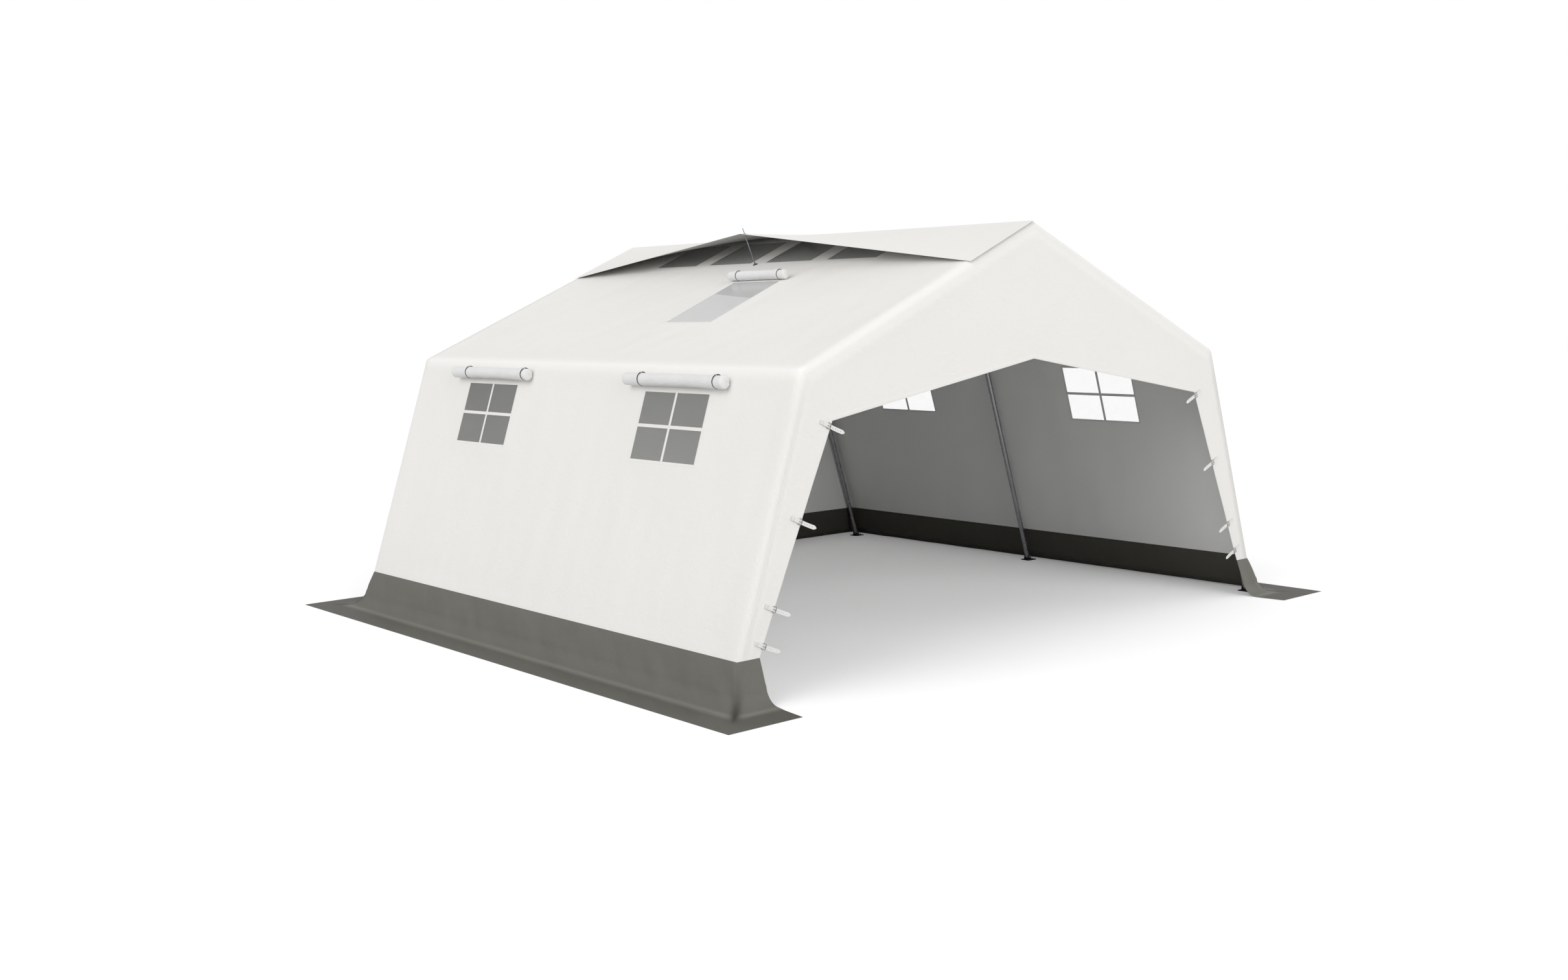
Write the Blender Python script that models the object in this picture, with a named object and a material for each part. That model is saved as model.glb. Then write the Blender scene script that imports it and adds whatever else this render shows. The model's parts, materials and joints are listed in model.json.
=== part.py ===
"""Kitchen tent: three arches of round steel tube under a white cotton cover.

The cover has an open front gable, four mesh windows, mesh vents under a ridge flap that a stay
rod props up, a skylight, and dark mud skirts. Metres, +Z up. The origin is on the ground at the
centre of the footprint: the ridge runs along Y, the open front faces -Y, and left is -X.
"""

import math

import bmesh
import bpy
from mathutils import Matrix, Vector

# Cover: the outside of the cloth
EAVE_HALF_WIDTH = 2.169
EAVE_HEIGHT = 2.010
RIDGE_HEIGHT = 2.966
GROUND_HALF_WIDTH = 2.819
HALF_LENGTH = 2.380
CLOTH = 0.002
GAP = 0.0003

# Mud skirt and the ground cloth beyond it
SKIRT_HEIGHT = 0.283
SIDE_CREASE = 0.097
END_CREASE = 0.097
END_SKIRT_LEAN = math.radians(18.6)
SIDE_GROUND_CLOTH = 0.224
END_GROUND_CLOTH = 0.2278
SKIRT_CUT_FLARE = 0.030
SKIRT_STEPS = 7

# Doorway in the front gable
DOOR_PEAK_HEIGHT = 2.009
DOOR_SHOULDER_HEIGHT = 1.685
JAMB_SHOULDER_WIDTH = 0.3491
JAMB_FOOT_WIDTH = 0.1775

# Windows, two on each long wall
WINDOW_WIDTH = 0.705
WINDOW_SILL_HEIGHT = 1.389
WINDOW_HEAD_HEIGHT = 1.837
WINDOW_BAR = 0.023
WINDOW_OFFSET = 1.180
MESH_LAP = 0.015

# Vents and skylight in the left slope, measured down the slope from the ridge
VENT_WIDTH = 0.530
VENT_PITCH = 0.710
VENT_COUNT = 4
VENT_TOP = 0.120
VENT_BOTTOM = 0.553
SKYLIGHT_WIDTH = 0.530
SKYLIGHT_CENTRE = -0.395
SKYLIGHT_TOP = 0.940
SKYLIGHT_BOTTOM = 1.657

# Ridge flap and its stay
FLAP_DEPTH = 0.716
FLAP_REACH = 0.685
FLAP_SEAM = 0.012
STAY_DISTANCE = 0.585
STAY_RADIUS = 0.0045
STAY_LENGTH = 0.308
STAY_PIVOT_HEIGHT = 0.010
STAY_CLEARANCE = 0.0005
STAY_PIN_RADIUS = 0.0018
SOCKET_RADIUS = 0.020
SOCKET_BASE = 0.003
SOCKET_EAR = 0.003

# Rolled blinds
BLIND_RADIUS = 0.046
BLIND_LENGTH = 1.090
BLIND_HEIGHT = 1.909
BLIND_END_ROUND = 0.014
QUARTER_ROUND_SHARE = 0.3
SKYLIGHT_BLIND_RADIUS = 0.037
SKYLIGHT_BLIND_LENGTH = 0.650
SKYLIGHT_BLIND_CENTRE = -0.390
SKYLIGHT_BLIND_DISTANCE = 0.900
BLIND_STRAP_WIDTH = 0.028
BLIND_STRAP_THICKNESS = 0.002
BLIND_STRAP_SPAN = 0.820
FRONT_BLIND_STRAP_SHIFT = 0.038
BACK_BLIND_STRAP_SHIFT = 0.078
SKYLIGHT_STRAP_SPAN = 0.480
BLIND_SIDES = 16

# Door straps: heights of the buckles on each jamb, and how far each lies outside the doorway
STRAP_HEIGHTS = {"left": (1.656, 1.080, 0.563, 0.347), "right": (1.661, 1.114, 0.597, 0.370)}
BUCKLE_SETBACKS = {"left": (0.022, 0.014, 0.005, -0.004), "right": (0.003, 0.003, 0.003, 0.003)}
STRAP_WIDTH = 0.027
STRAP_THICKNESS = 0.0025
STRAP_BASE = 0.075
STRAP_TAIL = 0.140
STRAP_POINT = 0.022
STRAP_TIP_SHARE = 0.3
STRAP_HOLE_RADIUS = 0.0025
STRAP_HOLE_PITCH = 0.022
STRAP_HOLES = 4
BUCKLE_LENGTH = 0.032
BUCKLE_WIDTH = 0.041
BUCKLE_WIRE = 0.004

# Frame tube and its joints
TUBE_RADIUS = 0.0212
TUBE_WALL = 0.0020
FRAME_INSET = 0.060
ARCH_INSET = 0.040
SLEEVE_WALL = 0.0032
SLEEVE_REACH = 0.110
SOCKET_START = 0.032
SLIP_CLEARANCE = 0.0004
PURLIN_SLEEVE = 0.085
TUBE_SIDES = 16
PIN_SIDES = 12
SMALL_SIDES = 8
SMOOTH_ANGLE = math.radians(35)

# Foot plates
FOOT_INWARD = 0.045
FOOT_OUTWARD = 0.075
FOOT_WIDTH = 0.100
FOOT_THICKNESS = 0.005
LEG_OVERHANG = 0.018
PIN_RADIUS = 0.005
PIN_CLEARANCE = 0.0005
LUG_THICKNESS = 0.005
LUG_HALF_WIDTH = 0.016
LUG_CLEARANCE = 0.001
RING_RADIUS = 0.013
RING_WIRE = 0.003
RING_OFFSET = 0.052

SIDES = {"left": -1, "right": 1}
ARCHES = {
    "front": -(HALF_LENGTH - ARCH_INSET),
    "middle": 0.0,
    "back": HALF_LENGTH - ARCH_INSET,
}
Y_AXIS = Vector((0, 1, 0))


def material(name, colour, roughness, metallic=0.0):
    made = bpy.data.materials.new(name)
    made.use_nodes = True
    shader = made.node_tree.nodes["Principled BSDF"]
    shader.inputs["Base Color"].default_value = (*colour, 1)
    shader.inputs["Roughness"].default_value = roughness
    shader.inputs["Metallic"].default_value = metallic
    return made


def clear_scene():
    for item in list(bpy.data.objects):
        bpy.data.objects.remove(item, do_unlink=True)


def add_object(name, mesh, finish, smooth=False):
    item = bpy.data.objects.new(name, mesh)
    bpy.context.scene.collection.objects.link(item)
    if not mesh.materials:
        mesh.materials.append(finish)
    if smooth:
        mesh.shade_smooth()
        mesh.set_sharp_from_angle(angle=SMOOTH_ANGLE)
    return item


def mesh_from(bm, name):
    bmesh.ops.recalc_face_normals(bm, faces=bm.faces)
    mesh = bpy.data.meshes.new(name)
    bm.to_mesh(mesh)
    bm.free()
    return mesh


# The cross-section of the cover, on the right-hand side


def roof_angle():
    return math.atan2(RIDGE_HEIGHT - EAVE_HEIGHT, EAVE_HALF_WIDTH)


def wall_angle():
    """How far the side walls lean from the vertical."""
    return math.atan2(GROUND_HALF_WIDTH - EAVE_HALF_WIDTH, EAVE_HEIGHT)


def wall_x(height, inset=0.0):
    """Half width at a height, on the wall moved inwards by inset."""
    lean = math.tan(wall_angle())
    return GROUND_HALF_WIDTH - inset / math.cos(wall_angle()) - height * lean


def ridge_z(inset):
    return RIDGE_HEIGHT - inset / math.cos(roof_angle())


def eave_point(inset):
    """Where the wall and the roof meet when both are moved inwards by inset."""
    slope = math.tan(roof_angle())
    lean = math.tan(wall_angle())
    base = GROUND_HALF_WIDTH - inset / math.cos(wall_angle())
    z = (ridge_z(inset) - slope * base) / (1 - slope * lean)
    return Vector((base - z * lean, 0, z))


def ridge_point(inset):
    return Vector((0, 0, ridge_z(inset)))


def roof_down(side):
    return Vector((side * math.cos(roof_angle()), 0, -math.sin(roof_angle())))


def roof_normal(side):
    return Vector((side * math.sin(roof_angle()), 0, math.cos(roof_angle())))


def wall_down(side):
    return Vector((side * math.sin(wall_angle()), 0, -math.cos(wall_angle())))


def wall_normal(side):
    return Vector((side * math.cos(wall_angle()), 0, math.sin(wall_angle())))


def mirrored(point, side):
    return Vector((side * point.x, point.y, point.z))


def roof_length():
    return (eave_point(0) - ridge_point(0)).length


def wall_length(height):
    """Distance down the wall from the eave to a height."""
    return (EAVE_HEIGHT - height) / math.cos(wall_angle())


# Flat panels with square openings


def panel(name, origin, across, down, normal, edges_y, edges_s, holes, thickness, mitre, finish):
    """A plate on a grid of lines, with the cells in holes left open.

    edges_y and edges_s are the grid lines along across and down. mitre is how far the plate's
    two ends draw in for each metre below its outer face.
    """
    bm = bmesh.new()
    rows = []
    for depth in (0.0, thickness):
        lines = list(edges_s)
        lines[0] += mitre[0] * depth
        lines[-1] -= mitre[1] * depth
        grid = []
        for s in lines:
            places = [origin + across * y + down * s - normal * depth for y in edges_y]
            grid.append([bm.verts.new(place) for place in places])
        rows.append(grid)
    cells = set()
    for i in range(len(edges_s) - 1):
        for j in range(len(edges_y) - 1):
            middle_y = (edges_y[j] + edges_y[j + 1]) / 2
            middle_s = (edges_s[i] + edges_s[i + 1]) / 2
            open_cell = any(
                low_y < middle_y < high_y and low_s < middle_s < high_s
                for low_y, high_y, low_s, high_s in holes
            )
            if not open_cell:
                cells.add((i, j))
    for i, j in cells:
        for grid in rows:
            bm.faces.new((grid[i][j], grid[i][j + 1], grid[i + 1][j + 1], grid[i + 1][j]))
        borders = {
            (i - 1, j): ((i, j), (i, j + 1)),
            (i + 1, j): ((i + 1, j), (i + 1, j + 1)),
            (i, j - 1): ((i, j), (i + 1, j)),
            (i, j + 1): ((i, j + 1), (i + 1, j + 1)),
        }
        for neighbour, (a, b) in borders.items():
            if neighbour not in cells:
                top, under = rows
                bm.faces.new((top[a[0]][a[1]], top[b[0]][b[1]], under[b[0]][b[1]], under[a[0]][a[1]]))
    loose = [vert for vert in bm.verts if not vert.link_faces]
    bmesh.ops.delete(bm, geom=loose, context="VERTS")
    return add_object(name, mesh_from(bm, name), finish)


def grid_lines(low, high, holes, first):
    """Sorted grid lines from low to high with every edge of the holes between them."""
    lines = {low, high}
    for hole in holes:
        lines.update(hole[first : first + 2])
    return sorted(lines)


def window_panes():
    """The four panes of each window, as (low y, high y, low s, high s) down the wall."""
    panes = []
    head = wall_length(WINDOW_HEAD_HEIGHT)
    sill = wall_length(WINDOW_SILL_HEIGHT)
    middle = (head + sill) / 2
    for centre in (-WINDOW_OFFSET, WINDOW_OFFSET):
        for low_y, high_y in (
            (centre - WINDOW_WIDTH / 2, centre - WINDOW_BAR / 2),
            (centre + WINDOW_BAR / 2, centre + WINDOW_WIDTH / 2),
        ):
            panes.append((low_y, high_y, head, middle - WINDOW_BAR / 2))
            panes.append((low_y, high_y, middle + WINDOW_BAR / 2, sill))
    return panes


def vent_centres():
    return [VENT_PITCH * (i - (VENT_COUNT - 1) / 2) for i in range(VENT_COUNT)]


def roof_holes():
    holes = [
        (centre - VENT_WIDTH / 2, centre + VENT_WIDTH / 2, VENT_TOP, VENT_BOTTOM)
        for centre in vent_centres()
    ]
    skylight_low = SKYLIGHT_CENTRE - SKYLIGHT_WIDTH / 2
    holes.append((skylight_low, skylight_low + SKYLIGHT_WIDTH, SKYLIGHT_TOP, SKYLIGHT_BOTTOM))
    return holes


def ridge_mitre():
    return math.tan(roof_angle())


def eave_mitre():
    """Draw-in of a plate's end at the eave, for each metre below its outer face."""
    fold = math.radians(90) - wall_angle() - roof_angle()
    return math.tan(fold / 2)


def panel_reach():
    """Where the side panels end: just inside the gables."""
    return HALF_LENGTH - CLOTH - GAP


def roof_panel(name, side, holes, finish):
    reach = panel_reach()
    lines_s = grid_lines(GAP, roof_length() - GAP, holes, 2)
    lines_y = grid_lines(-reach, reach, holes, 0)
    mitre = (ridge_mitre(), eave_mitre())
    place = (ridge_point(0), Y_AXIS, roof_down(side), roof_normal(side))
    return panel(name, *place, lines_y, lines_s, holes, CLOTH, mitre, finish)


def wall_panel(name, side, finish):
    reach = panel_reach()
    holes = window_panes()
    lines_s = grid_lines(GAP, wall_length(SKIRT_HEIGHT) - GAP, holes, 2)
    lines_y = grid_lines(-reach, reach, holes, 0)
    eave = mirrored(eave_point(0), side)
    place = (eave, Y_AXIS, wall_down(side), wall_normal(side))
    mitre = (eave_mitre(), math.tan(wall_angle()))
    return panel(name, *place, lines_y, lines_s, holes, CLOTH, mitre, finish)


def backing(name, side, on_roof, low_y, high_y, low_s, high_s, finish):
    """A sheet against the inside of a slope or wall, lapping an opening by MESH_LAP."""
    lines_y = [low_y - MESH_LAP, high_y + MESH_LAP]
    lines_s = [low_s - MESH_LAP, high_s + MESH_LAP]
    normal = roof_normal(side) if on_roof else wall_normal(side)
    down = roof_down(side) if on_roof else wall_down(side)
    start = ridge_point(0) if on_roof else mirrored(eave_point(0), side)
    start = start - normal * (CLOTH + GAP)
    return panel(name, start, Y_AXIS, down, normal, lines_y, lines_s, [], CLOTH, (0, 0), finish)


def extruded(name, outline, y_start, y_end, finish):
    """A flat outline of (x, z) points given a thickness along Y."""
    bm = bmesh.new()
    near = [bm.verts.new((x, y_start, z)) for x, z in outline]
    far = [bm.verts.new((x, y_end, z)) for x, z in outline]
    bm.faces.new(near)
    bm.faces.new(reversed(far))
    for i in range(len(outline)):
        j = (i + 1) % len(outline)
        bm.faces.new((near[i], far[i], far[j], near[j]))
    return add_object(name, mesh_from(bm, name), finish)


def gable_outline():
    """The gable's sides and top, from the left foot to the right foot."""
    foot = SKIRT_HEIGHT + GAP
    right = [(EAVE_HALF_WIDTH, EAVE_HEIGHT), (wall_x(foot), foot)]
    left = [(-x, z) for x, z in reversed(right)]
    return left + [(0, RIDGE_HEIGHT)] + right


def door_foot_x():
    """Half width of the doorway at the top of the skirt."""
    return wall_x(SKIRT_HEIGHT) - JAMB_FOOT_WIDTH


def door_shoulder_x():
    """Half width of the doorway where its edge turns towards the peak."""
    return wall_x(DOOR_SHOULDER_HEIGHT) - JAMB_SHOULDER_WIDTH


def door_x(height):
    """Half width of the doorway at a height on its straight jambs."""
    rise = (height - SKIRT_HEIGHT) / (DOOR_SHOULDER_HEIGHT - SKIRT_HEIGHT)
    return door_foot_x() + rise * (door_shoulder_x() - door_foot_x())


def door_outline():
    """The doorway's edge, from its right foot over the peak to its left foot."""
    foot = SKIRT_HEIGHT + GAP
    right = [(door_x(foot), foot), (door_shoulder_x(), DOOR_SHOULDER_HEIGHT)]
    left = [(-x, z) for x, z in reversed(right)]
    return right + [(0, DOOR_PEAK_HEIGHT)] + left


def build_gables(finish):
    outside = HALF_LENGTH
    inside = HALF_LENGTH - CLOTH
    extruded("gable_front", gable_outline() + door_outline(), -outside, -inside, finish)
    extruded("gable_back", gable_outline(), inside, outside, finish)


# Skirts and flap: sheets with two faces


def thick_sheet(name, upper, under, finish, smooth=False):
    """A closed sheet between two grids of points of the same size."""
    bm = bmesh.new()
    top = [[bm.verts.new(point) for point in row] for row in upper]
    low = [[bm.verts.new(point) for point in row] for row in under]
    last_row = len(top) - 1
    last_column = len(top[0]) - 1
    for i in range(last_row):
        for j in range(last_column):
            bm.faces.new((top[i][j], top[i][j + 1], top[i + 1][j + 1], top[i + 1][j]))
            bm.faces.new((low[i][j], low[i + 1][j], low[i + 1][j + 1], low[i][j + 1]))
    for i in range(last_row):
        for j in (0, last_column):
            bm.faces.new((top[i][j], top[i + 1][j], low[i + 1][j], low[i][j]))
    for j in range(last_column):
        for i in (0, last_row):
            bm.faces.new((top[i][j], top[i][j + 1], low[i][j + 1], low[i][j]))
    return add_object(name, mesh_from(bm, name), finish, smooth)


def crease_radius(run, turn):
    """Radius of the bend between a slope and the ground that starts run before their corner."""
    return run / math.tan(turn / 2)


def skirt_level(plane_at, crease_x, radius, height, depth):
    """Distance from the tent's centre of a skirt face at a height.

    depth is how far the face lies behind the outer one. Above the bend the face follows
    plane_at; in the bend it is an arc whose centre stands outside the skirt.
    """
    bend_centre = CLOTH + radius
    reach = radius + depth
    drop = bend_centre - height
    if drop <= 0:
        return plane_at(height, depth)
    arc = crease_x - math.sqrt(max(reach * reach - drop * drop, 0.0))
    return max(arc, plane_at(height, depth))


def end_plane(height, depth):
    """The end skirt's face leans outwards from the gable's foot."""
    run = (SKIRT_HEIGHT - height) * math.tan(END_SKIRT_LEAN)
    return HALF_LENGTH + run - depth / math.cos(END_SKIRT_LEAN)


def skirt_rings(depth):
    """(x, y, z) of the skirt's corner on each ring, from its top edge to the ground."""
    side_turn = math.radians(90) - wall_angle()
    side_radius = crease_radius(SIDE_CREASE, side_turn)
    end_turn = math.radians(90) - END_SKIRT_LEAN
    end_radius = crease_radius(END_CREASE, end_turn)
    side_crease = GROUND_HALF_WIDTH + SIDE_CREASE
    end_crease = end_plane(0, 0) + END_CREASE
    heights = [SKIRT_HEIGHT]
    for step in range(SKIRT_STEPS + 1):
        angle = end_turn * (1 - step / SKIRT_STEPS)
        heights.append(CLOTH + end_radius - (end_radius + depth) * math.cos(angle))
    rings = []
    for z in heights:
        x = skirt_level(wall_x, side_crease, side_radius, z, depth)
        y = skirt_level(end_plane, end_crease, end_radius, z, depth)
        rings.append((x, y, z))
    ground = CLOTH - depth
    rings.append((side_crease + SIDE_GROUND_CLOTH, end_crease + END_GROUND_CLOTH, ground))
    return rings


def build_skirts(finish):
    """Each half runs from the door along the front, one side and the back to the middle."""
    end_crease = end_plane(0, 0) + END_CREASE
    for name, side in SIDES.items():
        faces = []
        for depth in (0.0, CLOTH):
            grid = []
            for x, y, z in skirt_rings(depth):
                flare = SKIRT_CUT_FLARE * max(y - end_crease, 0.0) / END_GROUND_CLOTH
                door = door_foot_x() + flare
                row = [(door, -y, z), (x, -y, z), (x, y, z), (GAP / 2, y, z)]
                grid.append([(side * px, py, pz) for px, py, pz in row])
            faces.append(grid)
        thick_sheet("skirt_" + name, faces[0], faces[1], finish)


def flap_height(distance, y):
    """Height of the flap's underside over the roof, at a distance down the left slope."""
    edge_reach = flap_edge(y)
    lift = FLAP_REACH * math.sin(roof_angle()) * (1 - abs(y) / HALF_LENGTH)
    return GAP + lift * distance / edge_reach


def flap_edge(y):
    """Distance down the slope of the flap's free edge."""
    peak = FLAP_REACH * math.cos(roof_angle())
    return peak + (FLAP_DEPTH - peak) * abs(y) / HALF_LENGTH


def build_flap(finish):
    side = SIDES["left"]
    columns = [HALF_LENGTH * share for share in (-1, -0.75, -0.5, -0.25, 0, 0.25, 0.5, 0.75, 1)]
    faces = []
    for above in (CLOTH, 0.0):
        grid = []
        for share in (0.0, 1 / 3, 2 / 3, 1.0):
            row = []
            for y in columns:
                distance = FLAP_SEAM + share * (flap_edge(y) - FLAP_SEAM)
                rise = flap_height(distance, y) + above
                place = ridge_point(0) + roof_down(side) * distance + roof_normal(side) * rise
                row.append(place + Y_AXIS * y)
            grid.append(row)
        faces.append(grid)
    flap = thick_sheet("ridge_flap", faces[0], faces[1], finish)
    start = stay_foot()
    radius = STAY_RADIUS + STAY_CLEARANCE
    eyelet = rod_mesh("eyelet_cutter", radius, start, start + roof_normal(side) * 2 * STAY_LENGTH, PIN_SIDES)
    cut(flap, add_cutter("eyelet_cutter", eyelet))


# Round pieces


def ring_frame(direction):
    """Two unit vectors across a direction, with the first as level along Y as can be."""
    direction = direction.normalized()
    first = Y_AXIS - direction * direction.y
    if first.length < 0.1:
        first = Vector((1, 0, 0))
    first.normalize()
    return first, direction.cross(first)


def turned(name, start, direction, profile, sides):
    """A round solid from (distance along, radius) points; a radius of 0 closes an end."""
    first, second = ring_frame(direction)
    direction = direction.normalized()
    bm = bmesh.new()
    rings = []
    for along, radius in profile:
        middle = start + direction * along
        if radius == 0:
            rings.append([bm.verts.new(middle)])
            continue
        ring = []
        for i in range(sides):
            angle = 2 * math.pi * (i + 0.5) / sides
            offset = first * math.cos(angle) + second * math.sin(angle)
            ring.append(bm.verts.new(middle + offset * radius))
        rings.append(ring)
    for a, b in zip(rings, rings[1:]):
        for i in range(sides):
            j = (i + 1) % sides
            if len(a) == 1:
                bm.faces.new((a[0], b[i], b[j]))
            elif len(b) == 1:
                bm.faces.new((a[i], b[0], a[j]))
            else:
                bm.faces.new((a[i], b[i], b[j], a[j]))
    for ring in (rings[0], rings[-1]):
        if len(ring) > 1 and not (profile[0] == profile[-1]):
            bm.faces.new(ring)
    if profile[0] == profile[-1]:
        bmesh.ops.remove_doubles(bm, verts=rings[0] + rings[-1], dist=1e-6)
    return mesh_from(bm, name)


def rod_mesh(name, radius, start, end, sides):
    length = (end - start).length
    return turned(name, start, end - start, [(0, radius), (length, radius)], sides)


def tube_mesh(name, start, end):
    """An open tube of the frame's size."""
    length = (end - start).length
    bore = TUBE_RADIUS - TUBE_WALL
    loop = [(0, bore), (0, TUBE_RADIUS), (length, TUBE_RADIUS), (length, bore), (0, bore)]
    return turned(name, start, end - start, loop, TUBE_SIDES)


def box_mesh(name, low, high):
    bm = bmesh.new()
    bmesh.ops.create_cube(bm, size=1.0)
    low = Vector(low)
    size = Vector(high) - low
    for vert in bm.verts:
        vert.co = Vector(
            [low[k] + size[k] * (vert.co[k] + 0.5) for k in range(3)]
        )
    return mesh_from(bm, name)


def add_cutter(name, mesh):
    item = bpy.data.objects.new(name, mesh)
    bpy.context.scene.collection.objects.link(item)
    item.hide_render = True
    item.display_type = "WIRE"
    return item


def combine(item, other, operation):
    modifier = item.modifiers.new(operation.lower(), "BOOLEAN")
    modifier.operation = operation
    modifier.solver = "EXACT"
    modifier.object = other


def cut(item, cutter):
    combine(item, cutter, "DIFFERENCE")


def join(item, helper):
    combine(item, helper, "UNION")


# Frame


def frame_eave():
    return eave_point(FRAME_INSET)


def frame_ridge():
    return ridge_point(FRAME_INSET)


def sleeve_radius():
    return TUBE_RADIUS + SLIP_CLEARANCE + SLEEVE_WALL


def purlin_inset():
    """The purlin sleeves carry the cover: they stop GAP short of the cloth's inner face."""
    return CLOTH + GAP + sleeve_radius()


def tube_end():
    """Distance of a plugged-in tube's end from its joint's centre."""
    return SOCKET_START + SLIP_CLEARANCE


def build_joint(name, centre, arms, purlin, arch_y, finish):
    """A joint of sleeves: one on each arm, and one along Y that holds the purlin."""
    centre = centre + Y_AXIS * arch_y
    purlin = purlin + Y_AXIS * arch_y
    fold = arms[0].angle(arms[1])
    overlap = sleeve_radius() / math.tan(fold / 2)
    bore = TUBE_RADIUS + SLIP_CLEARANCE
    past = 0.01
    sleeves = []
    bores = []
    for i, arm in enumerate(arms):
        label = f"{name}_arm{i}"
        outer = rod_mesh(
            label, sleeve_radius(), centre - arm * overlap, centre + arm * SLEEVE_REACH, TUBE_SIDES
        )
        sleeves.append((label, outer))
        inner = rod_mesh(
            label + "_bore",
            bore,
            centre + arm * SOCKET_START,
            centre + arm * (SLEEVE_REACH + past),
            TUBE_SIDES,
        )
        bores.append((label + "_bore", inner))
    inward = 0 if arch_y == 0 else -math.copysign(1, arch_y)
    if inward == 0:
        low = -PURLIN_SLEEVE / 2
        high = PURLIN_SLEEVE / 2
        bore_low = low - past
        bore_high = high + past
    else:
        low = -sleeve_radius()
        high = PURLIN_SLEEVE
        bore_low = -TUBE_RADIUS / 2
        bore_high = high + past
    way = Y_AXIS * (inward or 1)
    label = name + "_purlin"
    sleeves.append(
        (label, rod_mesh(label, sleeve_radius(), purlin + way * low, purlin + way * high, TUBE_SIDES))
    )
    bores.append(
        (
            label + "_bore",
            rod_mesh(label, bore, purlin + way * bore_low, purlin + way * bore_high, TUBE_SIDES),
        )
    )
    body = add_object(name, sleeves[0][1], finish, smooth=True)
    for label, mesh in sleeves[1:]:
        join(body, add_cutter(label, mesh))
    for label, mesh in bores:
        cut(body, add_cutter(label, mesh))


def leg_line(side):
    """Centre of the pin and upward direction of a leg, at y = 0."""
    up = -wall_down(side)
    pin = Vector((side * wall_x(pin_height(), FRAME_INSET), 0, pin_height()))
    return pin, up


def pin_height():
    """High enough that the leg's end swings clear of the foot plate."""
    corner = math.hypot(LEG_OVERHANG, TUBE_RADIUS)
    return FOOT_THICKNESS + corner + LUG_CLEARANCE


def build_frame(tube_finish, joint_finish):
    for arch, arch_y in ARCHES.items():
        at = Y_AXIS * arch_y
        for name, side in SIDES.items():
            label = f"{name}_{arch}"
            eave = mirrored(frame_eave(), side) + at
            ridge = frame_ridge() + at
            down = wall_down(side)
            up_roof = -roof_down(side)
            pin, _ = leg_line(side)
            foot = pin + at + down * LEG_OVERHANG
            leg = tube_mesh("leg_" + label, foot, eave + down * tube_end())
            item = add_object("leg_" + label, leg, tube_finish, smooth=True)
            half = TUBE_RADIUS * 2
            hole = PIN_RADIUS + PIN_CLEARANCE
            drill = rod_mesh("drill_" + label, hole, pin + at - Y_AXIS * half, pin + at + Y_AXIS * half, PIN_SIDES)
            cut(item, add_cutter("drill_" + label, drill))
            rafter = tube_mesh("rafter_" + label, eave + up_roof * tube_end(), ridge - up_roof * tube_end())
            add_object("rafter_" + label, rafter, tube_finish, smooth=True)
            purlin = mirrored(eave_point(purlin_inset()), side)
            arms = (down, up_roof)
            build_joint(
                "eave_joint_" + label, mirrored(frame_eave(), side), arms, purlin, arch_y, joint_finish
            )
        arms = (roof_down(-1), roof_down(1))
        build_joint(
            "ridge_joint_" + arch, frame_ridge(), arms, ridge_point(purlin_inset()), arch_y, joint_finish
        )
    end = Y_AXIS * (ARCHES["back"] + TUBE_RADIUS / 2 - SLIP_CLEARANCE)
    purlins = {"ridge_purlin": ridge_point(purlin_inset())}
    for name, side in SIDES.items():
        purlins["eave_purlin_" + name] = mirrored(eave_point(purlin_inset()), side)
    for name, middle in purlins.items():
        add_object(name, tube_mesh(name, middle - end, middle + end), tube_finish, smooth=True)


def foot_mesh_parts(side):
    """Base plate, two lugs, the pin and the tie ring, round a pin at the origin."""
    base = -pin_height()
    top = base + FOOT_THICKNESS
    near, far = sorted((-side * FOOT_INWARD, side * FOOT_OUTWARD))
    plate = box_mesh("plate", (near, -FOOT_WIDTH / 2, base), (far, FOOT_WIDTH / 2, top))
    parts = []
    inner = TUBE_RADIUS + LUG_CLEARANCE
    for way in (-1, 1):
        low_y, high_y = sorted((way * inner, way * (inner + LUG_THICKNESS)))
        lug = bmesh.new()
        outline = [(-LUG_HALF_WIDTH, base + FOOT_THICKNESS / 2), (LUG_HALF_WIDTH, base + FOOT_THICKNESS / 2)]
        for k in range(SMALL_SIDES + 1):
            angle = math.pi * k / SMALL_SIDES
            outline.append((LUG_HALF_WIDTH * math.cos(angle), LUG_HALF_WIDTH * math.sin(angle)))
        near_face = [lug.verts.new((x, low_y, z)) for x, z in outline]
        far_face = [lug.verts.new((x, high_y, z)) for x, z in outline]
        lug.faces.new(near_face)
        lug.faces.new(far_face)
        for k in range(len(outline)):
            m = (k + 1) % len(outline)
            lug.faces.new((near_face[k], far_face[k], far_face[m], near_face[m]))
        parts.append(mesh_from(lug, f"lug{way}"))
    reach = inner + 2 * LUG_THICKNESS
    parts.append(rod_mesh("pin", PIN_RADIUS, Vector((0, -reach, 0)), Vector((0, reach, 0)), PIN_SIDES))
    parts.append(ring_mesh("ring", Vector((side * RING_OFFSET, 0, top + RING_RADIUS - RING_WIRE / 2))))
    return plate, parts


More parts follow.
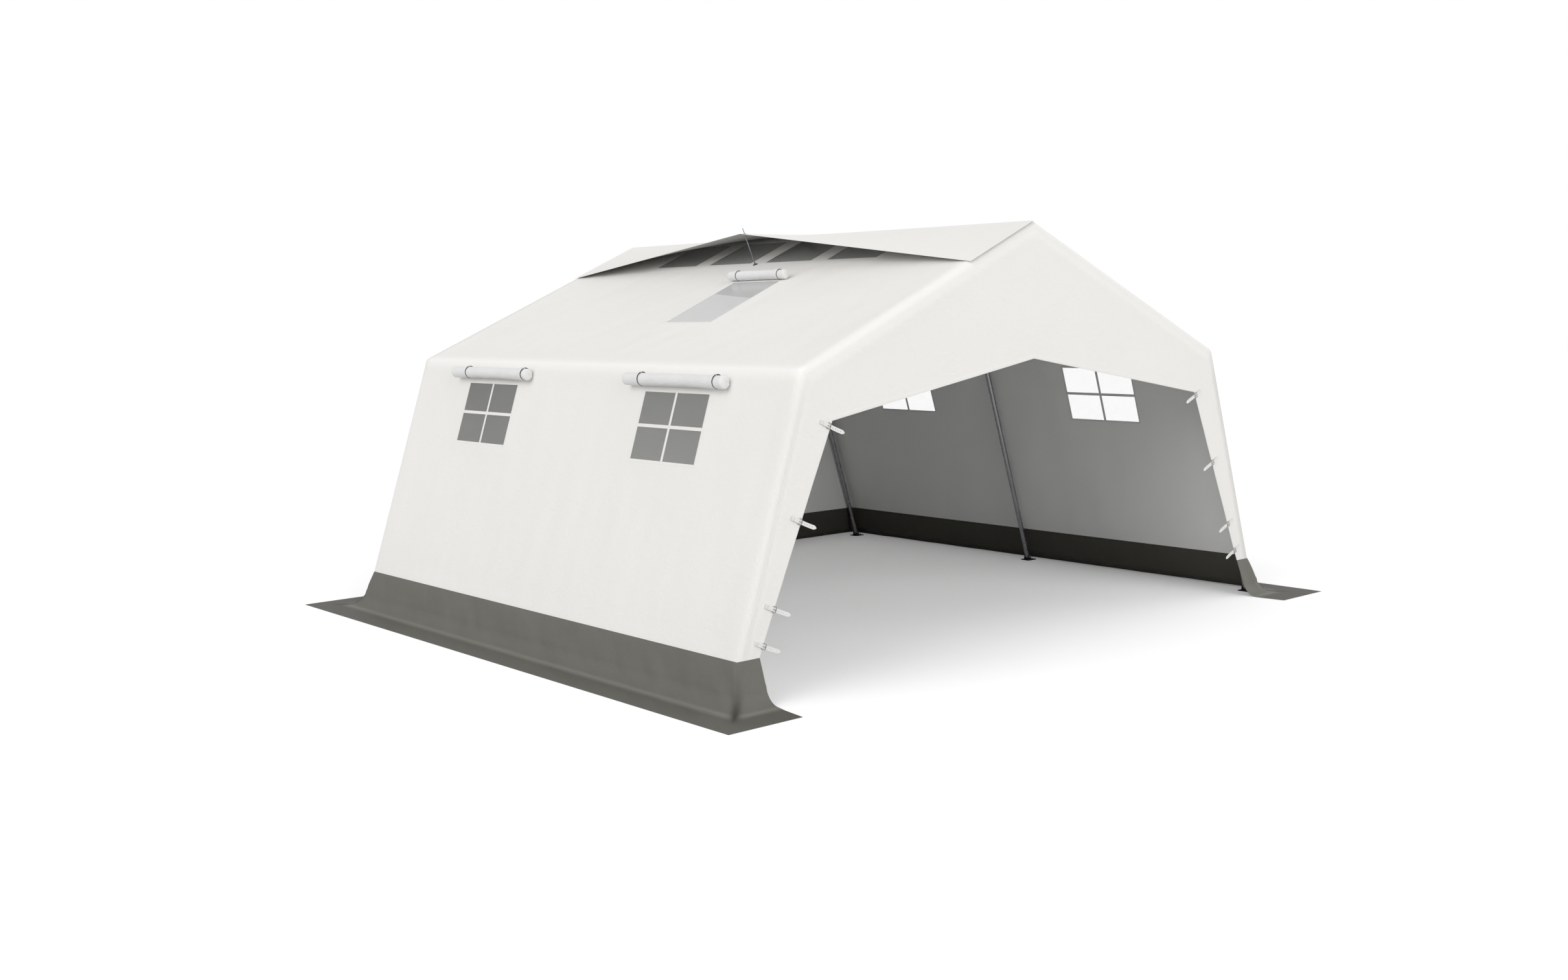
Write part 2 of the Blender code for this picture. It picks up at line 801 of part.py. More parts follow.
def ring_mesh(name, middle):
    """A ring of wire standing across Y."""
    around = 12
    section = 6
    bm = bmesh.new()
    loops = []
    for i in range(around):
        angle = 2 * math.pi * i / around
        out = Vector((math.cos(angle), 0, math.sin(angle)))
        loop = []
        for k in range(section):
            turn = 2 * math.pi * k / section
            offset = out * math.cos(turn) + Y_AXIS * math.sin(turn)
            loop.append(bm.verts.new(middle + out * RING_RADIUS + offset * RING_WIRE))
        loops.append(loop)
    for i in range(around):
        a = loops[i]
        b = loops[(i + 1) % around]
        for k in range(section):
            m = (k + 1) % section
            bm.faces.new((a[k], a[m], b[m], b[k]))
    return mesh_from(bm, name)


def build_feet(finish):
    for name, side in SIDES.items():
        pin, _ = leg_line(side)
        plate, parts = foot_mesh_parts(side)
        for arch, arch_y in ARCHES.items():
            place = pin + Y_AXIS * arch_y
            item = add_object(f"foot_{name}_{arch}", plate, finish, smooth=True)
            item.location = place
            for k, mesh in enumerate(parts):
                helper = add_cutter(f"foot_{name}_{arch}_{k}", mesh)
                helper.location = place
                join(item, helper)


# Rolled blinds


def blind_profile(radius, length, strap_span, strap_shift=0.0):
    """A roll's outline, with both straps moved by strap_shift towards its front end."""
    band = radius + BLIND_STRAP_THICKNESS
    corner = BLIND_END_ROUND * QUARTER_ROUND_SHARE
    halves = []
    for way in (-1, 1):
        middle = strap_span / 2 - way * strap_shift
        half = [
            (length / 2, 0),
            (length / 2, radius - BLIND_END_ROUND),
            (length / 2 - corner, radius - corner),
            (length / 2 - BLIND_END_ROUND, radius),
            (middle + BLIND_STRAP_WIDTH / 2, radius),
            (middle + BLIND_STRAP_WIDTH / 2, band),
            (middle - BLIND_STRAP_WIDTH / 2, band),
            (middle - BLIND_STRAP_WIDTH / 2, radius),
        ]
        halves.append([(way * along, r) for along, r in half])
    low, high = halves
    return low + high[::-1]


def build_blinds(finish):
    seat = BLIND_RADIUS + BLIND_STRAP_THICKNESS + GAP
    ends = (
        ("front", -WINDOW_OFFSET, FRONT_BLIND_STRAP_SHIFT),
        ("back", WINDOW_OFFSET, BACK_BLIND_STRAP_SHIFT),
    )
    for name, side in SIDES.items():
        height = BLIND_HEIGHT
        x = side * (wall_x(height) + seat / math.cos(wall_angle()))
        for end, y, shift in ends:
            label = f"blind_{name}_{end}"
            profile = blind_profile(BLIND_RADIUS, BLIND_LENGTH, BLIND_STRAP_SPAN, shift)
            mesh = turned(label, Vector((x, y, height)), Y_AXIS, profile, BLIND_SIDES)
            add_object(label, mesh, finish, smooth=True)
    side = SIDES["left"]
    seat = SKYLIGHT_BLIND_RADIUS + BLIND_STRAP_THICKNESS + GAP
    place = ridge_point(0) + roof_down(side) * SKYLIGHT_BLIND_DISTANCE + roof_normal(side) * seat
    profile = blind_profile(SKYLIGHT_BLIND_RADIUS, SKYLIGHT_BLIND_LENGTH, SKYLIGHT_STRAP_SPAN)
    mesh = turned("blind_skylight", place + Y_AXIS * SKYLIGHT_BLIND_CENTRE, Y_AXIS, profile, BLIND_SIDES)
    add_object("blind_skylight", mesh, finish, smooth=True)


# Stay of the ridge flap


def stay_foot():
    """The stay's pivot, on the left slope."""
    side = SIDES["left"]
    rise = roof_normal(side) * (GAP + STAY_PIVOT_HEIGHT)
    return ridge_point(0) + roof_down(side) * STAY_DISTANCE + rise


def build_stay(rod_finish, socket_finish):
    side = SIDES["left"]
    normal = roof_normal(side)
    pivot = stay_foot()
    tip_round = STAY_RADIUS / 2
    heel_round = STAY_RADIUS * (1 - QUARTER_ROUND_SHARE)
    length = STAY_LENGTH - STAY_PIVOT_HEIGHT
    profile = [
        (-STAY_RADIUS, 0),
        (-heel_round, heel_round),
        (0, STAY_RADIUS),
        (length - tip_round, STAY_RADIUS),
        (length, tip_round),
        (length, 0),
    ]
    mesh = turned("stay_rod", pivot, normal, profile, PIN_SIDES)
    rod = add_object("stay_rod", mesh, rod_finish, smooth=True)
    for vert in mesh.vertices:
        vert.co -= pivot
    rod.location = pivot
    hole = STAY_PIN_RADIUS + STAY_CLEARANCE
    drill = rod_mesh("stay_drill", hole, pivot - Y_AXIS * SOCKET_RADIUS, pivot + Y_AXIS * SOCKET_RADIUS, PIN_SIDES)
    cut(rod, add_cutter("stay_drill", drill))
    base_low = pivot - normal * STAY_PIVOT_HEIGHT
    disc = rod_mesh("stay_socket", SOCKET_RADIUS, base_low, base_low + normal * SOCKET_BASE, TUBE_SIDES)
    socket = add_object("stay_socket", disc, socket_finish, smooth=True)
    down = roof_down(side)
    inner = STAY_RADIUS + STAY_CLEARANCE
    for way in (-1, 1):
        low_y, high_y = sorted((way * inner, way * (inner + SOCKET_EAR)))
        ear = box_mesh(
            f"stay_ear{way}",
            (-STAY_RADIUS, low_y, SOCKET_BASE / 2 - STAY_PIVOT_HEIGHT),
            (STAY_RADIUS, high_y, STAY_RADIUS),
        )
        turn = Matrix((down, Y_AXIS, normal)).transposed().to_4x4()
        ear.transform(Matrix.Translation(pivot) @ turn)
        helper = add_cutter(f"stay_ear{way}", ear)
        join(socket, helper)
    reach = Y_AXIS * (inner + SOCKET_EAR / 2)
    pin = rod_mesh("stay_pin", STAY_PIN_RADIUS, pivot - reach, pivot + reach, PIN_SIDES)
    join(socket, add_cutter("stay_pin", pin))


# Door straps


def strap_meshes():
    """A strap lying along +X with its sewn end at the origin, its width along Y, rising in Z."""
    length = STRAP_BASE + STRAP_TAIL
    half = STRAP_WIDTH / 2
    outline = [
        (0, -half),
        (length - STRAP_POINT, -half),
        (length, -half * STRAP_TIP_SHARE),
        (length, half * STRAP_TIP_SHARE),
        (length - STRAP_POINT, half),
        (0, half),
    ]
    bm = bmesh.new()
    low = [bm.verts.new((x, y, 0)) for x, y in outline]
    high = [bm.verts.new((x, y, STRAP_THICKNESS)) for x, y in outline]
    bm.faces.new(low)
    bm.faces.new(high)
    for k in range(len(outline)):
        m = (k + 1) % len(outline)
        bm.faces.new((low[k], high[k], high[m], low[m]))
    strap = mesh_from(bm, "door_strap")
    start = STRAP_BASE - BUCKLE_LENGTH / 2
    sink = STRAP_THICKNESS / 2
    rim = BUCKLE_WIDTH / 2
    frame = box_mesh(
        "buckle", (start, -rim, sink), (start + BUCKLE_LENGTH, rim, STRAP_THICKNESS + BUCKLE_WIRE)
    )
    window = box_mesh(
        "buckle_window",
        (start + BUCKLE_WIRE, -rim + BUCKLE_WIRE, STRAP_THICKNESS),
        (start + BUCKLE_LENGTH - BUCKLE_WIRE, rim - BUCKLE_WIRE, STRAP_THICKNESS + 2 * BUCKLE_WIRE),
    )
    tongue = rod_mesh(
        "buckle_tongue",
        BUCKLE_WIRE / 2,
        Vector((start + BUCKLE_WIRE / 2, 0, STRAP_THICKNESS + BUCKLE_WIRE / 2)),
        Vector((start + BUCKLE_LENGTH - BUCKLE_WIRE / 2, 0, STRAP_THICKNESS + BUCKLE_WIRE / 2)),
        SMALL_SIDES,
    )
    holes = []
    first = STRAP_BASE + BUCKLE_LENGTH / 2 + STRAP_HOLE_PITCH
    for k in range(STRAP_HOLES):
        place = Vector((first + k * STRAP_HOLE_PITCH, 0, 0))
        up = Vector((0, 0, STRAP_THICKNESS))
        holes.append(rod_mesh(f"strap_hole{k}", STRAP_HOLE_RADIUS, place - up, place + 2 * up, SMALL_SIDES))
    return strap, frame, window, tongue, holes


def jamb_angle():
    """How far the doorway's jambs lean from the vertical."""
    run = door_foot_x() - door_shoulder_x()
    return math.atan2(run, DOOR_SHOULDER_HEIGHT - SKIRT_HEIGHT)


def strap_place(side, height, setback):
    """Sewn end of a strap on the front gable's face, and the matrix that lays the strap there."""
    lean = jamb_angle()
    inward = Vector((-side * math.cos(lean), 0, -math.sin(lean)))
    outward_normal = Vector((0, -1, 0))
    across = outward_normal.cross(inward)
    buckle = Vector((side * (door_x(height) + setback), -HALF_LENGTH - GAP, height))
    sewn = buckle - inward * STRAP_BASE
    turn = Matrix((inward, across, outward_normal)).transposed().to_4x4()
    return Matrix.Translation(sewn) @ turn


def build_straps(finish):
    strap, frame, window, tongue, holes = strap_meshes()
    for name, side in SIDES.items():
        rows = zip(STRAP_HEIGHTS[name], BUCKLE_SETBACKS[name])
        for number, (height, setback) in enumerate(rows, start=1):
            label = f"door_strap_{name}_{number}"
            place = strap_place(side, height, setback)
            item = add_object(label, strap, finish)
            item.matrix_world = place
            steps = [(frame, join), (window, cut), (tongue, join)]
            steps += [(hole, cut) for hole in holes]
            for k, (mesh, step) in enumerate(steps):
                helper = add_cutter(f"{label}_{k}", mesh)
                helper.matrix_world = place
                step(item, helper)


def build_cover(cloth, mesh_cloth, film):
    roof_panel("roof_left", SIDES["left"], roof_holes(), cloth)
    roof_panel("roof_right", SIDES["right"], [], cloth)
    head = wall_length(WINDOW_HEAD_HEIGHT)
    sill = wall_length(WINDOW_SILL_HEIGHT)
    half = WINDOW_WIDTH / 2
    for name, side in SIDES.items():
        wall_panel("side_wall_" + name, side, cloth)
        for end, y in (("front", -WINDOW_OFFSET), ("back", WINDOW_OFFSET)):
            label = f"window_mesh_{name}_{end}"
            backing(label, side, False, y - half, y + half, head, sill, mesh_cloth)
    left = SIDES["left"]
    centres = vent_centres()
    low_y = centres[0] - VENT_WIDTH / 2
    high_y = centres[-1] + VENT_WIDTH / 2
    backing("vent_mesh", left, True, low_y, high_y, VENT_TOP, VENT_BOTTOM, mesh_cloth)
    skylight = (SKYLIGHT_CENTRE - SKYLIGHT_WIDTH / 2, SKYLIGHT_CENTRE + SKYLIGHT_WIDTH / 2)
    backing("skylight_film", left, True, *skylight, SKYLIGHT_TOP, SKYLIGHT_BOTTOM, film)
    build_gables(cloth)


def main():
    clear_scene()
    white = material("white_cotton_canvas", (0.84, 0.84, 0.82), 0.85)
    grey = material("grey_coated_skirt", (0.142, 0.138, 0.122), 0.62)
    mesh_cloth = material("mosquito_mesh", (0.22, 0.22, 0.21), 0.8)
    film = material("clear_film", (0.62, 0.62, 0.62), 0.35)
    webbing = material("white_webbing", (0.80, 0.80, 0.78), 0.7)
    steel = material("galvanised_tube", (0.12, 0.12, 0.13), 0.38, 0.9)
    casting = material("painted_casting", (0.06, 0.06, 0.065), 0.5, 0.6)
    build_cover(white, mesh_cloth, film)
    build_skirts(grey)
    build_flap(white)
    build_stay(steel, casting)
    build_blinds(white)
    build_frame(steel, casting)
    build_feet(casting)
    build_straps(webbing)


main()
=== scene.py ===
import json
import math

import bmesh
import bpy
import numpy as np
from mathutils import Matrix, Vector, noise
from mathutils.bvhtree import BVHTree
from mathutils.geometry import delaunay_2d_cdt

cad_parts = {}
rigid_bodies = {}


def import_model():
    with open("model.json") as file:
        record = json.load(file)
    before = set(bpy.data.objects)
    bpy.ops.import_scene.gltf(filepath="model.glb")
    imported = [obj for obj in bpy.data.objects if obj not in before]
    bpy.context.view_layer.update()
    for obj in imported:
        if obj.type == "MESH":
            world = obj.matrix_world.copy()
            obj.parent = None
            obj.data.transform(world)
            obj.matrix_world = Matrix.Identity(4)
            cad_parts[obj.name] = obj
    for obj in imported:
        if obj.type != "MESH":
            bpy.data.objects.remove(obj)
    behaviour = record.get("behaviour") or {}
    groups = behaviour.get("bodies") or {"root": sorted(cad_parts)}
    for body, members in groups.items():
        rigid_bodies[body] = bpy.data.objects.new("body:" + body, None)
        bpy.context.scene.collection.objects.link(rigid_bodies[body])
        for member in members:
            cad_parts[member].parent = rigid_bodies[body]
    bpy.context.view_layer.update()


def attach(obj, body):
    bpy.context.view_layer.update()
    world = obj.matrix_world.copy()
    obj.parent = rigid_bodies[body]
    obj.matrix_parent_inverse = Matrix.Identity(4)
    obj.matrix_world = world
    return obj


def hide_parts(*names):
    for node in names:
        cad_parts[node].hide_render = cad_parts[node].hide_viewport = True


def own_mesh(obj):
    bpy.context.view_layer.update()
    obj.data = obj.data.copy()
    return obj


for item in list(bpy.data.objects):
    bpy.data.objects.remove(item)

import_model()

# Lengths of the tent, in metres, as its frame and cover were cut
EAVE_HALF_WIDTH = 2.169
EAVE_HEIGHT = 2.010
RIDGE_HEIGHT = 2.966
GROUND_HALF_WIDTH = 2.819
HALF_LENGTH = 2.380
SKIRT_HEIGHT = 0.283
SIDE_CREASE = 0.097
END_CREASE = 0.097
END_SKIRT_LEAN = math.radians(18.6)
SIDE_GROUND_CLOTH = 0.224
END_GROUND_CLOTH = 0.2278
SKIRT_CUT_FLARE = 0.030
DOOR_PEAK_HEIGHT = 2.009
DOOR_SHOULDER_HALF_WIDTH = 1.925
DOOR_SHOULDER_HEIGHT = 1.685
DOOR_FOOT_HALF_WIDTH = 2.550
WINDOW_WIDTH = 0.705
WINDOW_SILL_HEIGHT = 1.389
WINDOW_HEAD_HEIGHT = 1.837
WINDOW_BAR = 0.023
WINDOW_OFFSET = 1.180
NET_LAP = 0.015
VENT_WIDTH = 0.530
VENT_CENTRES = (-1.065, -0.355, 0.355, 1.065)
VENT_TOP = 0.120
VENT_BOTTOM = 0.553
SKYLIGHT_WIDTH = 0.530
SKYLIGHT_CENTRE = -0.395
SKYLIGHT_TOP = 0.940
SKYLIGHT_BOTTOM = 1.657
FLAP_DEPTH = 0.716
FLAP_REACH = 0.685
STAY_DISTANCE = 0.585
BLIND_RADIUS = 0.046
BLIND_LENGTH = 1.090
BLIND_HEIGHT = 1.909
BLIND_STRAP_SPAN = 0.820
BLIND_STRAP_SHIFT = {"front": 0.038, "back": 0.078}
SKYLIGHT_BLIND_RADIUS = 0.037
SKYLIGHT_BLIND_LENGTH = 0.668
SKYLIGHT_BLIND_CENTRE = -0.390
SKYLIGHT_BLIND_DISTANCE = 0.900
SKYLIGHT_STRAP_SPAN = 0.480
SIDES = {"left": -1, "right": 1}
ENDS = {"front": -1, "back": 1}

# Cloth as sewn
CANVAS = 0.001
EDGE_RADIUS = 0.042
CELL = 0.045

Y_AXIS = Vector((0, 1, 0))
RIDGE = Vector((0, 0, RIDGE_HEIGHT))
ROOF_ANGLE = math.atan2(RIDGE_HEIGHT - EAVE_HEIGHT, EAVE_HALF_WIDTH)
WALL_ANGLE = math.atan2(GROUND_HALF_WIDTH - EAVE_HALF_WIDTH, EAVE_HEIGHT)
DOOR_LEAN = math.atan2(DOOR_FOOT_HALF_WIDTH - DOOR_SHOULDER_HALF_WIDTH, DOOR_SHOULDER_HEIGHT - SKIRT_HEIGHT)
ROOF_LENGTH = math.hypot(EAVE_HALF_WIDTH, RIDGE_HEIGHT - EAVE_HEIGHT)


def wall_x(height, inset=0.0):
    return GROUND_HALF_WIDTH - inset / math.cos(WALL_ANGLE) - height * math.tan(WALL_ANGLE)


def wall_length(height):
    return (EAVE_HEIGHT - height) / math.cos(WALL_ANGLE)


def door_x(height):
    share = (height - SKIRT_HEIGHT) / (DOOR_SHOULDER_HEIGHT - SKIRT_HEIGHT)
    return DOOR_FOOT_HALF_WIDTH + (DOOR_SHOULDER_HALF_WIDTH - DOOR_FOOT_HALF_WIDTH) * share


def roof_down(side):
    return Vector((side * math.cos(ROOF_ANGLE), 0, -math.sin(ROOF_ANGLE)))


def roof_normal(side):
    return Vector((side * math.sin(ROOF_ANGLE), 0, math.cos(ROOF_ANGLE)))


def wall_down(side):
    return Vector((side * math.sin(WALL_ANGLE), 0, -math.cos(WALL_ANGLE)))


def wall_normal(side):
    return Vector((side * math.cos(WALL_ANGLE), 0, math.sin(WALL_ANGLE)))


def roof_plane(side):
    """The top of a roof slope, the way down it and its outward normal."""
    return RIDGE, roof_down(side), roof_normal(side)


def wall_plane(side):
    """The same of a side wall, from the eave down."""
    return Vector((side * EAVE_HALF_WIDTH, 0, EAVE_HEIGHT)), wall_down(side), wall_normal(side)


def on_plane(plane, s, y, lift=0.0):
    """The place s down a plane and y along the tent, lifted off it."""
    start, down, normal = plane
    return start + down * s + Y_AXIS * y + normal * lift


def eave_section(inset):
    """The eave's (x, z) with the roof and the wall both moved inwards."""
    base = wall_x(0, inset)
    top = RIDGE_HEIGHT - inset / math.cos(ROOF_ANGLE)
    slope = math.tan(ROOF_ANGLE)
    lean = math.tan(WALL_ANGLE)
    z = (top - slope * base) / (1 - slope * lean)
    return base - z * lean, z


# Colours and nodes


def colour(code):
    """Linear red, green, blue and alpha of an sRGB hex code."""
    shares = [int(code[i : i + 2], 16) / 255 for i in (1, 3, 5)]
    return [s / 12.92 if s <= 0.04045 else ((s + 0.055) / 1.055) ** 2.4 for s in shares] + [1.0]


def add(tree, kind, sockets=None, **settings):
    """Adds a node with its settings; sockets take a value, a node or a node's output."""
    node = tree.nodes.new(kind)
    for key, value in settings.items():
        setattr(node, key, value)
    for key, value in (sockets or {}).items():
        if isinstance(value, bpy.types.Node):
            tree.links.new(value.outputs[0], node.inputs[key])
        elif isinstance(value, bpy.types.NodeSocket):
            tree.links.new(value, node.inputs[key])
        else:
            node.inputs[key].default_value = value
    return node


def new_material(name):
    made = bpy.data.materials.new(name)
    made.use_nodes = True
    made.node_tree.nodes.clear()
    return made, made.node_tree


def maths(tree, operation, *values, **settings):
    return add(tree, "ShaderNodeMath", dict(enumerate(values)), operation=operation, **settings)


def mixed(tree, share, first, second):
    """A colour between two, which are hex codes, plain colours or a node's output."""
    ends = [colour(end) if isinstance(end, str) else end for end in (first, second)]
    return add(tree, "ShaderNodeMix", {0: share, 6: ends[0], 7: ends[1]}, data_type="RGBA").outputs[2]


def ranged(tree, value, to, within=(0.0, 1.0)):
    return add(tree, "ShaderNodeMapRange", {0: value, 1: within[0], 2: within[1], 3: to[0], 4: to[1]})


def clouds(tree, place, scale, detail, **sockets):
    return add(tree, "ShaderNodeTexNoise", {"Vector": place, "Scale": scale, "Detail": detail, **sockets})


def bumped(tree, strength, distance, height, **sockets):
    return add(tree, "ShaderNodeBump", {"Strength": strength, "Distance": distance, "Height": height, **sockets})


def finish_material(tree, sockets):
    shader = add(tree, "ShaderNodeBsdfPrincipled", sockets)
    add(tree, "ShaderNodeOutputMaterial", {"Surface": shader})


def cloth_place(tree):
    """The piece's own UV map, which is in metres along its threads."""
    return add(tree, "ShaderNodeUVMap", uv_map="cloth")


def plain_weave(
    name, base, deep, pitch, bump, roughness, sheen=0.0, mottle_and_painted_shading=0.25, cloudy=1.1, painted_highlight=None, painted_shade=None, crumple=0
):
    """Woven cloth.

    pitch is the thread spacing that is drawn; cloudy is the width of its slow colour drift.
    Where the painted-shading point attribute is above 0, the painted highlight colour is mixed in;
    where it is below 0, the painted shade colour; crumple is the height of the small creases.
    """
    made, tree = new_material(name)
    place = cloth_place(tree)
    axes = add(tree, "ShaderNodeSeparateXYZ", {0: place}).outputs
    turns = 2 * math.pi / pitch
    threads = [maths(tree, "SINE", maths(tree, "MULTIPLY", axes[k], turns)) for k in (0, 1)]
    weave = maths(tree, "MULTIPLY", *threads)
    slub = clouds(tree, place, 0.35 / pitch, 4.0)
    patch = ranged(tree, clouds(tree, place, 1 / cloudy, 3.0), (0.0, mottle_and_painted_shading), (0.35, 0.75))
    grain = ranged(tree, slub, (0.0, mottle_and_painted_shading), (0.3, 0.8))
    tint = mixed(tree, maths(tree, "ADD", patch, grain), base, deep)
    # Painted highlight where the painted-shading attribute is above 0, painted shade where it is below 0
    if painted_highlight:
        painted_shading = add(tree, "ShaderNodeAttribute", attribute_name="painted_shading").outputs["Fac"]
        highlight_grain = ranged(tree, slub, (0.8, 1.1), (0.2, 0.7))
        tint = mixed(tree, maths(tree, "MULTIPLY", painted_shading, highlight_grain, use_clamp=True), tint, painted_highlight)
        if painted_shade:
            tint = mixed(tree, maths(tree, "MULTIPLY", painted_shading, -1.0, use_clamp=True), tint, painted_shade)
    rise = bumped(tree, bump, pitch / 4, maths(tree, "ADD", weave, slub))
    if crumple:
        crease = clouds(tree, place, 9.0, 4.0, Distortion=1.2)
        ridge = maths(tree, "ABSOLUTE", maths(tree, "SUBTRACT", crease, 0.5))
        rise = bumped(tree, 1.0, crumple, ridge, Normal=rise)
    dull = ranged(tree, slub, (roughness - 0.05, roughness + 0.05))
    sockets = {"Base Color": tint, "Roughness": dull, "Normal": rise}
    finish_material(tree, {**sockets, "Sheen Weight": sheen, "Specular IOR Level": 0.3})
    return made


# Materials

# Bleached cotton canvas, woven and proofed: a matt, nearly even white with soft slubs. Its
# threads are 0.5 mm apart and are drawn 3 mm apart, so that a close view shows them.
# Along the eave's fold and the tent's ends the canvas is painted paler: a painted highlight.
canvas_outside = plain_weave(
    "bleached_cotton_canvas", "#EFEDEA", "#E7E5E0", 0.003, 0.12, 0.86, sheen=0.15, painted_highlight="#F8F7F5", crumple=0.0046
)
# The back of the same canvas, without the washed face: a little greyer and rougher.
canvas_inside = plain_weave("unwashed_canvas_back", "#EFEFED", "#E8E8E5", 0.003, 0.10, 0.92)
# The ridge flap keeps rain off the vents; its underside is the canvas painted grey, which is painted shade under the
# flap.
flap_underside_painted_shade = plain_weave("grey_flap_underside_painted_shade", "#B2B2AE", "#A4A4A0", 0.003, 0.08, 0.6, mottle_and_painted_shading=0.3)
# The blinds' canvas is softer and more handled, with a slightly greyer cast.
blind_canvas = plain_weave(
    "handled_blind_canvas", "#E9E9E9", "#DCDCDB", 0.003, 0.12, 0.88, sheen=0.15, mottle_and_painted_shading=0.5, cloudy=0.2, crumple=0.009
)
# Folded canvas at seams and hems: three layers, so it is a little lighter and tighter.
canvas_seam = plain_weave("folded_canvas_seam", "#EFEDEA", "#E7E5E0", 0.002, 0.08, 0.82, sheen=0.1)
# Coated polyester mud cloth: olive grey with a low shine. It is painted paler along its crease, a
# painted highlight, and darker in the corner tucks and over the flat ground cloth, which is painted shade.
skirt_outside = plain_weave(
    "coated_polyester_mud_cloth", "#66655F", "#72716A", 0.004, 0.18, 0.55,
    mottle_and_painted_shading=0.5, cloudy=0.3, painted_highlight="#86857D", painted_shade="#3A3935", crumple=0.002,
)
# The mud cloth's back, with less shine; its darker grey is painted shade for the inside of the tent.
skirt_back_painted_shade = plain_weave("rubberised_mud_cloth_back", "#45443F", "#514F48", 0.004, 0.12, 0.7, mottle_and_painted_shading=0.3)


def netting(name, thread, thread_width, ground):
    """Knitted net: rounded meshes a pitch wide, with see-through holes.

    ground is how much of the holes the finer threads fill, which are too thin to draw.
    """
    pitch = 0.003
    made, tree = new_material(name)
    place = cloth_place(tree)
    cells = {"Vector": place, "Scale": 1 / pitch, "Randomness": 0.55}
    meshes = add(tree, "ShaderNodeTexVoronoi", cells, voronoi_dimensions="2D", feature="DISTANCE_TO_EDGE")
    solid = maths(tree, "LESS_THAN", meshes, thread_width / pitch / 2)
    cloud = clouds(tree, place, 45.0, 5.0)
    uneven = ranged(tree, cloud, (ground * 0.85, ground * 1.15))
    dark = colour(thread)
    pale = [min(1, c * 1.35) for c in dark[:3]] + [1.0]
    tint = mixed(tree, cloud, dark, pale)
    finish_material(tree, {"Base Color": tint, "Roughness": 0.8, "Alpha": maths(tree, "MAXIMUM", solid, uneven)})
    return made


# Polyester mosquito net, knitted: an even grey veil. Its holes are 1.2 mm and are drawn 3 mm.
window_net = netting("polyester_mosquito_net", "#A6A6A3", 0.0002, 0.05)
# The vents' net is closer and darker, so that little of the inside shows through it.
vent_net = netting("close_polyester_vent_net", "#8C8C8A", 0.0004, 0.84)


def reinforced_film(name, painted_reflection, film_tint, slope, level):
    """Film with a scrim grid; above a slanting line, v + slope * u = level, it is painted greyer as a reflection."""
    scrim_pitch = 0.008
    scrim_width = 0.12
    made, tree = new_material(name)
    place = cloth_place(tree)
    axes = add(tree, "ShaderNodeSeparateXYZ", {0: place}).outputs
    lines = []
    for k in (0, 1):
        wave = maths(tree, "FRACT", maths(tree, "MULTIPLY", axes[k], 1 / scrim_pitch))
        lines.append(maths(tree, "LESS_THAN", wave, scrim_width))
    scrim = maths(tree, "MAXIMUM", *lines)
    height = maths(tree, "ADD", maths(tree, "MULTIPLY", axes[0], slope), axes[1])
    # Greyer above the slanting line: a painted reflection
    tint = mixed(tree, ranged(tree, height, (0.0, 1.0), (level - 0.002, level + 0.002)), painted_reflection, film_tint)
    cover = ranged(tree, clouds(tree, place, 7.0, 2.0), (0.86, 0.92))
    full = maths(tree, "ADD", cover, maths(tree, "MULTIPLY", scrim, 0.05))
    rise = bumped(tree, 0.2, 0.0006, scrim)
    finish_material(tree, {"Base Color": tint, "Roughness": 0.20, "Alpha": full, "Normal": rise})
    return made


# PVC film with a polyester scrim inside, calendered: milky, nearly opaque, with a shine. Its
# upper third is painted greyer up to a slanting edge: a painted reflection of the dark flap and blind.
skylight_film = reinforced_film("scrim_reinforced_pvc_film", "#CACACA", "#E4E4E4", 0.179, 0.317)


def drawn_steel(name, dark, light, roughness, metallic):
    """Steel with a finely mottled skin and slow scuffs in its tone and shine."""
    made, tree = new_material(name)
    place = add(tree, "ShaderNodeTexCoord").outputs["Object"]
    scuff = clouds(tree, place, 6.0, 6.0, Roughness=0.7)
    tint = mixed(tree, scuff, dark, light)
    dull = ranged(tree, scuff, (roughness - 0.07, roughness + 0.09), (0.3, 0.7))
    rise = bumped(tree, 0.08, 0.0004, clouds(tree, place, 90.0, 5.0))
    finish_material(tree, {"Base Color": tint, "Metallic": metallic, "Roughness": dull, "Normal": rise})
    return made


# Drawn steel tube under a satin metallic grey powder coat, with long pale reflections.
tube_steel = drawn_steel("powder_coated_steel_tube", "#9A9A9E", "#AAAAAE", 0.26, 0.85)
# Pressed and welded steel in a dark grey coat, rougher than the tubes'.
joint_steel = drawn_steel("coated_welded_steel", "#2E2E32", "#3A3A3E", 0.5, 0.2)
# Weld bead under the joints' coat: the same grey with a coarser skin.
weld_metal = drawn_steel("coated_weld_bead", "#2A2A2E", "#3C3C40", 0.6, 0.2)
# Zinc plate on bolts, pins and tie rings: bright and faintly blue.
zinc = drawn_steel("zinc_plated_steel", "#B9BCC0", "#D2D4D6", 0.3, 1.0)
# Galvanised steel of the stay rod and its socket: a dull grey with a long highlight.
rod_steel = drawn_steel("galvanised_steel_rod", "#7C7D80", "#9A9B9E", 0.35, 0.8)
# Buckles and the flap's eyelet are nickel plated and tumbled: a dull grey shine.
buckle_metal = drawn_steel("tumbled_nickel_plate", "#6A6A6A", "#9A9A98", 0.35, 0.7)

# Polypropylene webbing, woven flat: bright white with ribs across it. The ribs are 1.5 mm
# apart, which is near their real size.
webbing = plain_weave(
    "polypropylene_webbing", "#ECECEA", "#DEDEDA", 0.0015, 0.35, 0.6, sheen=0.2, mottle_and_painted_shading=0.4, cloudy=0.05
)
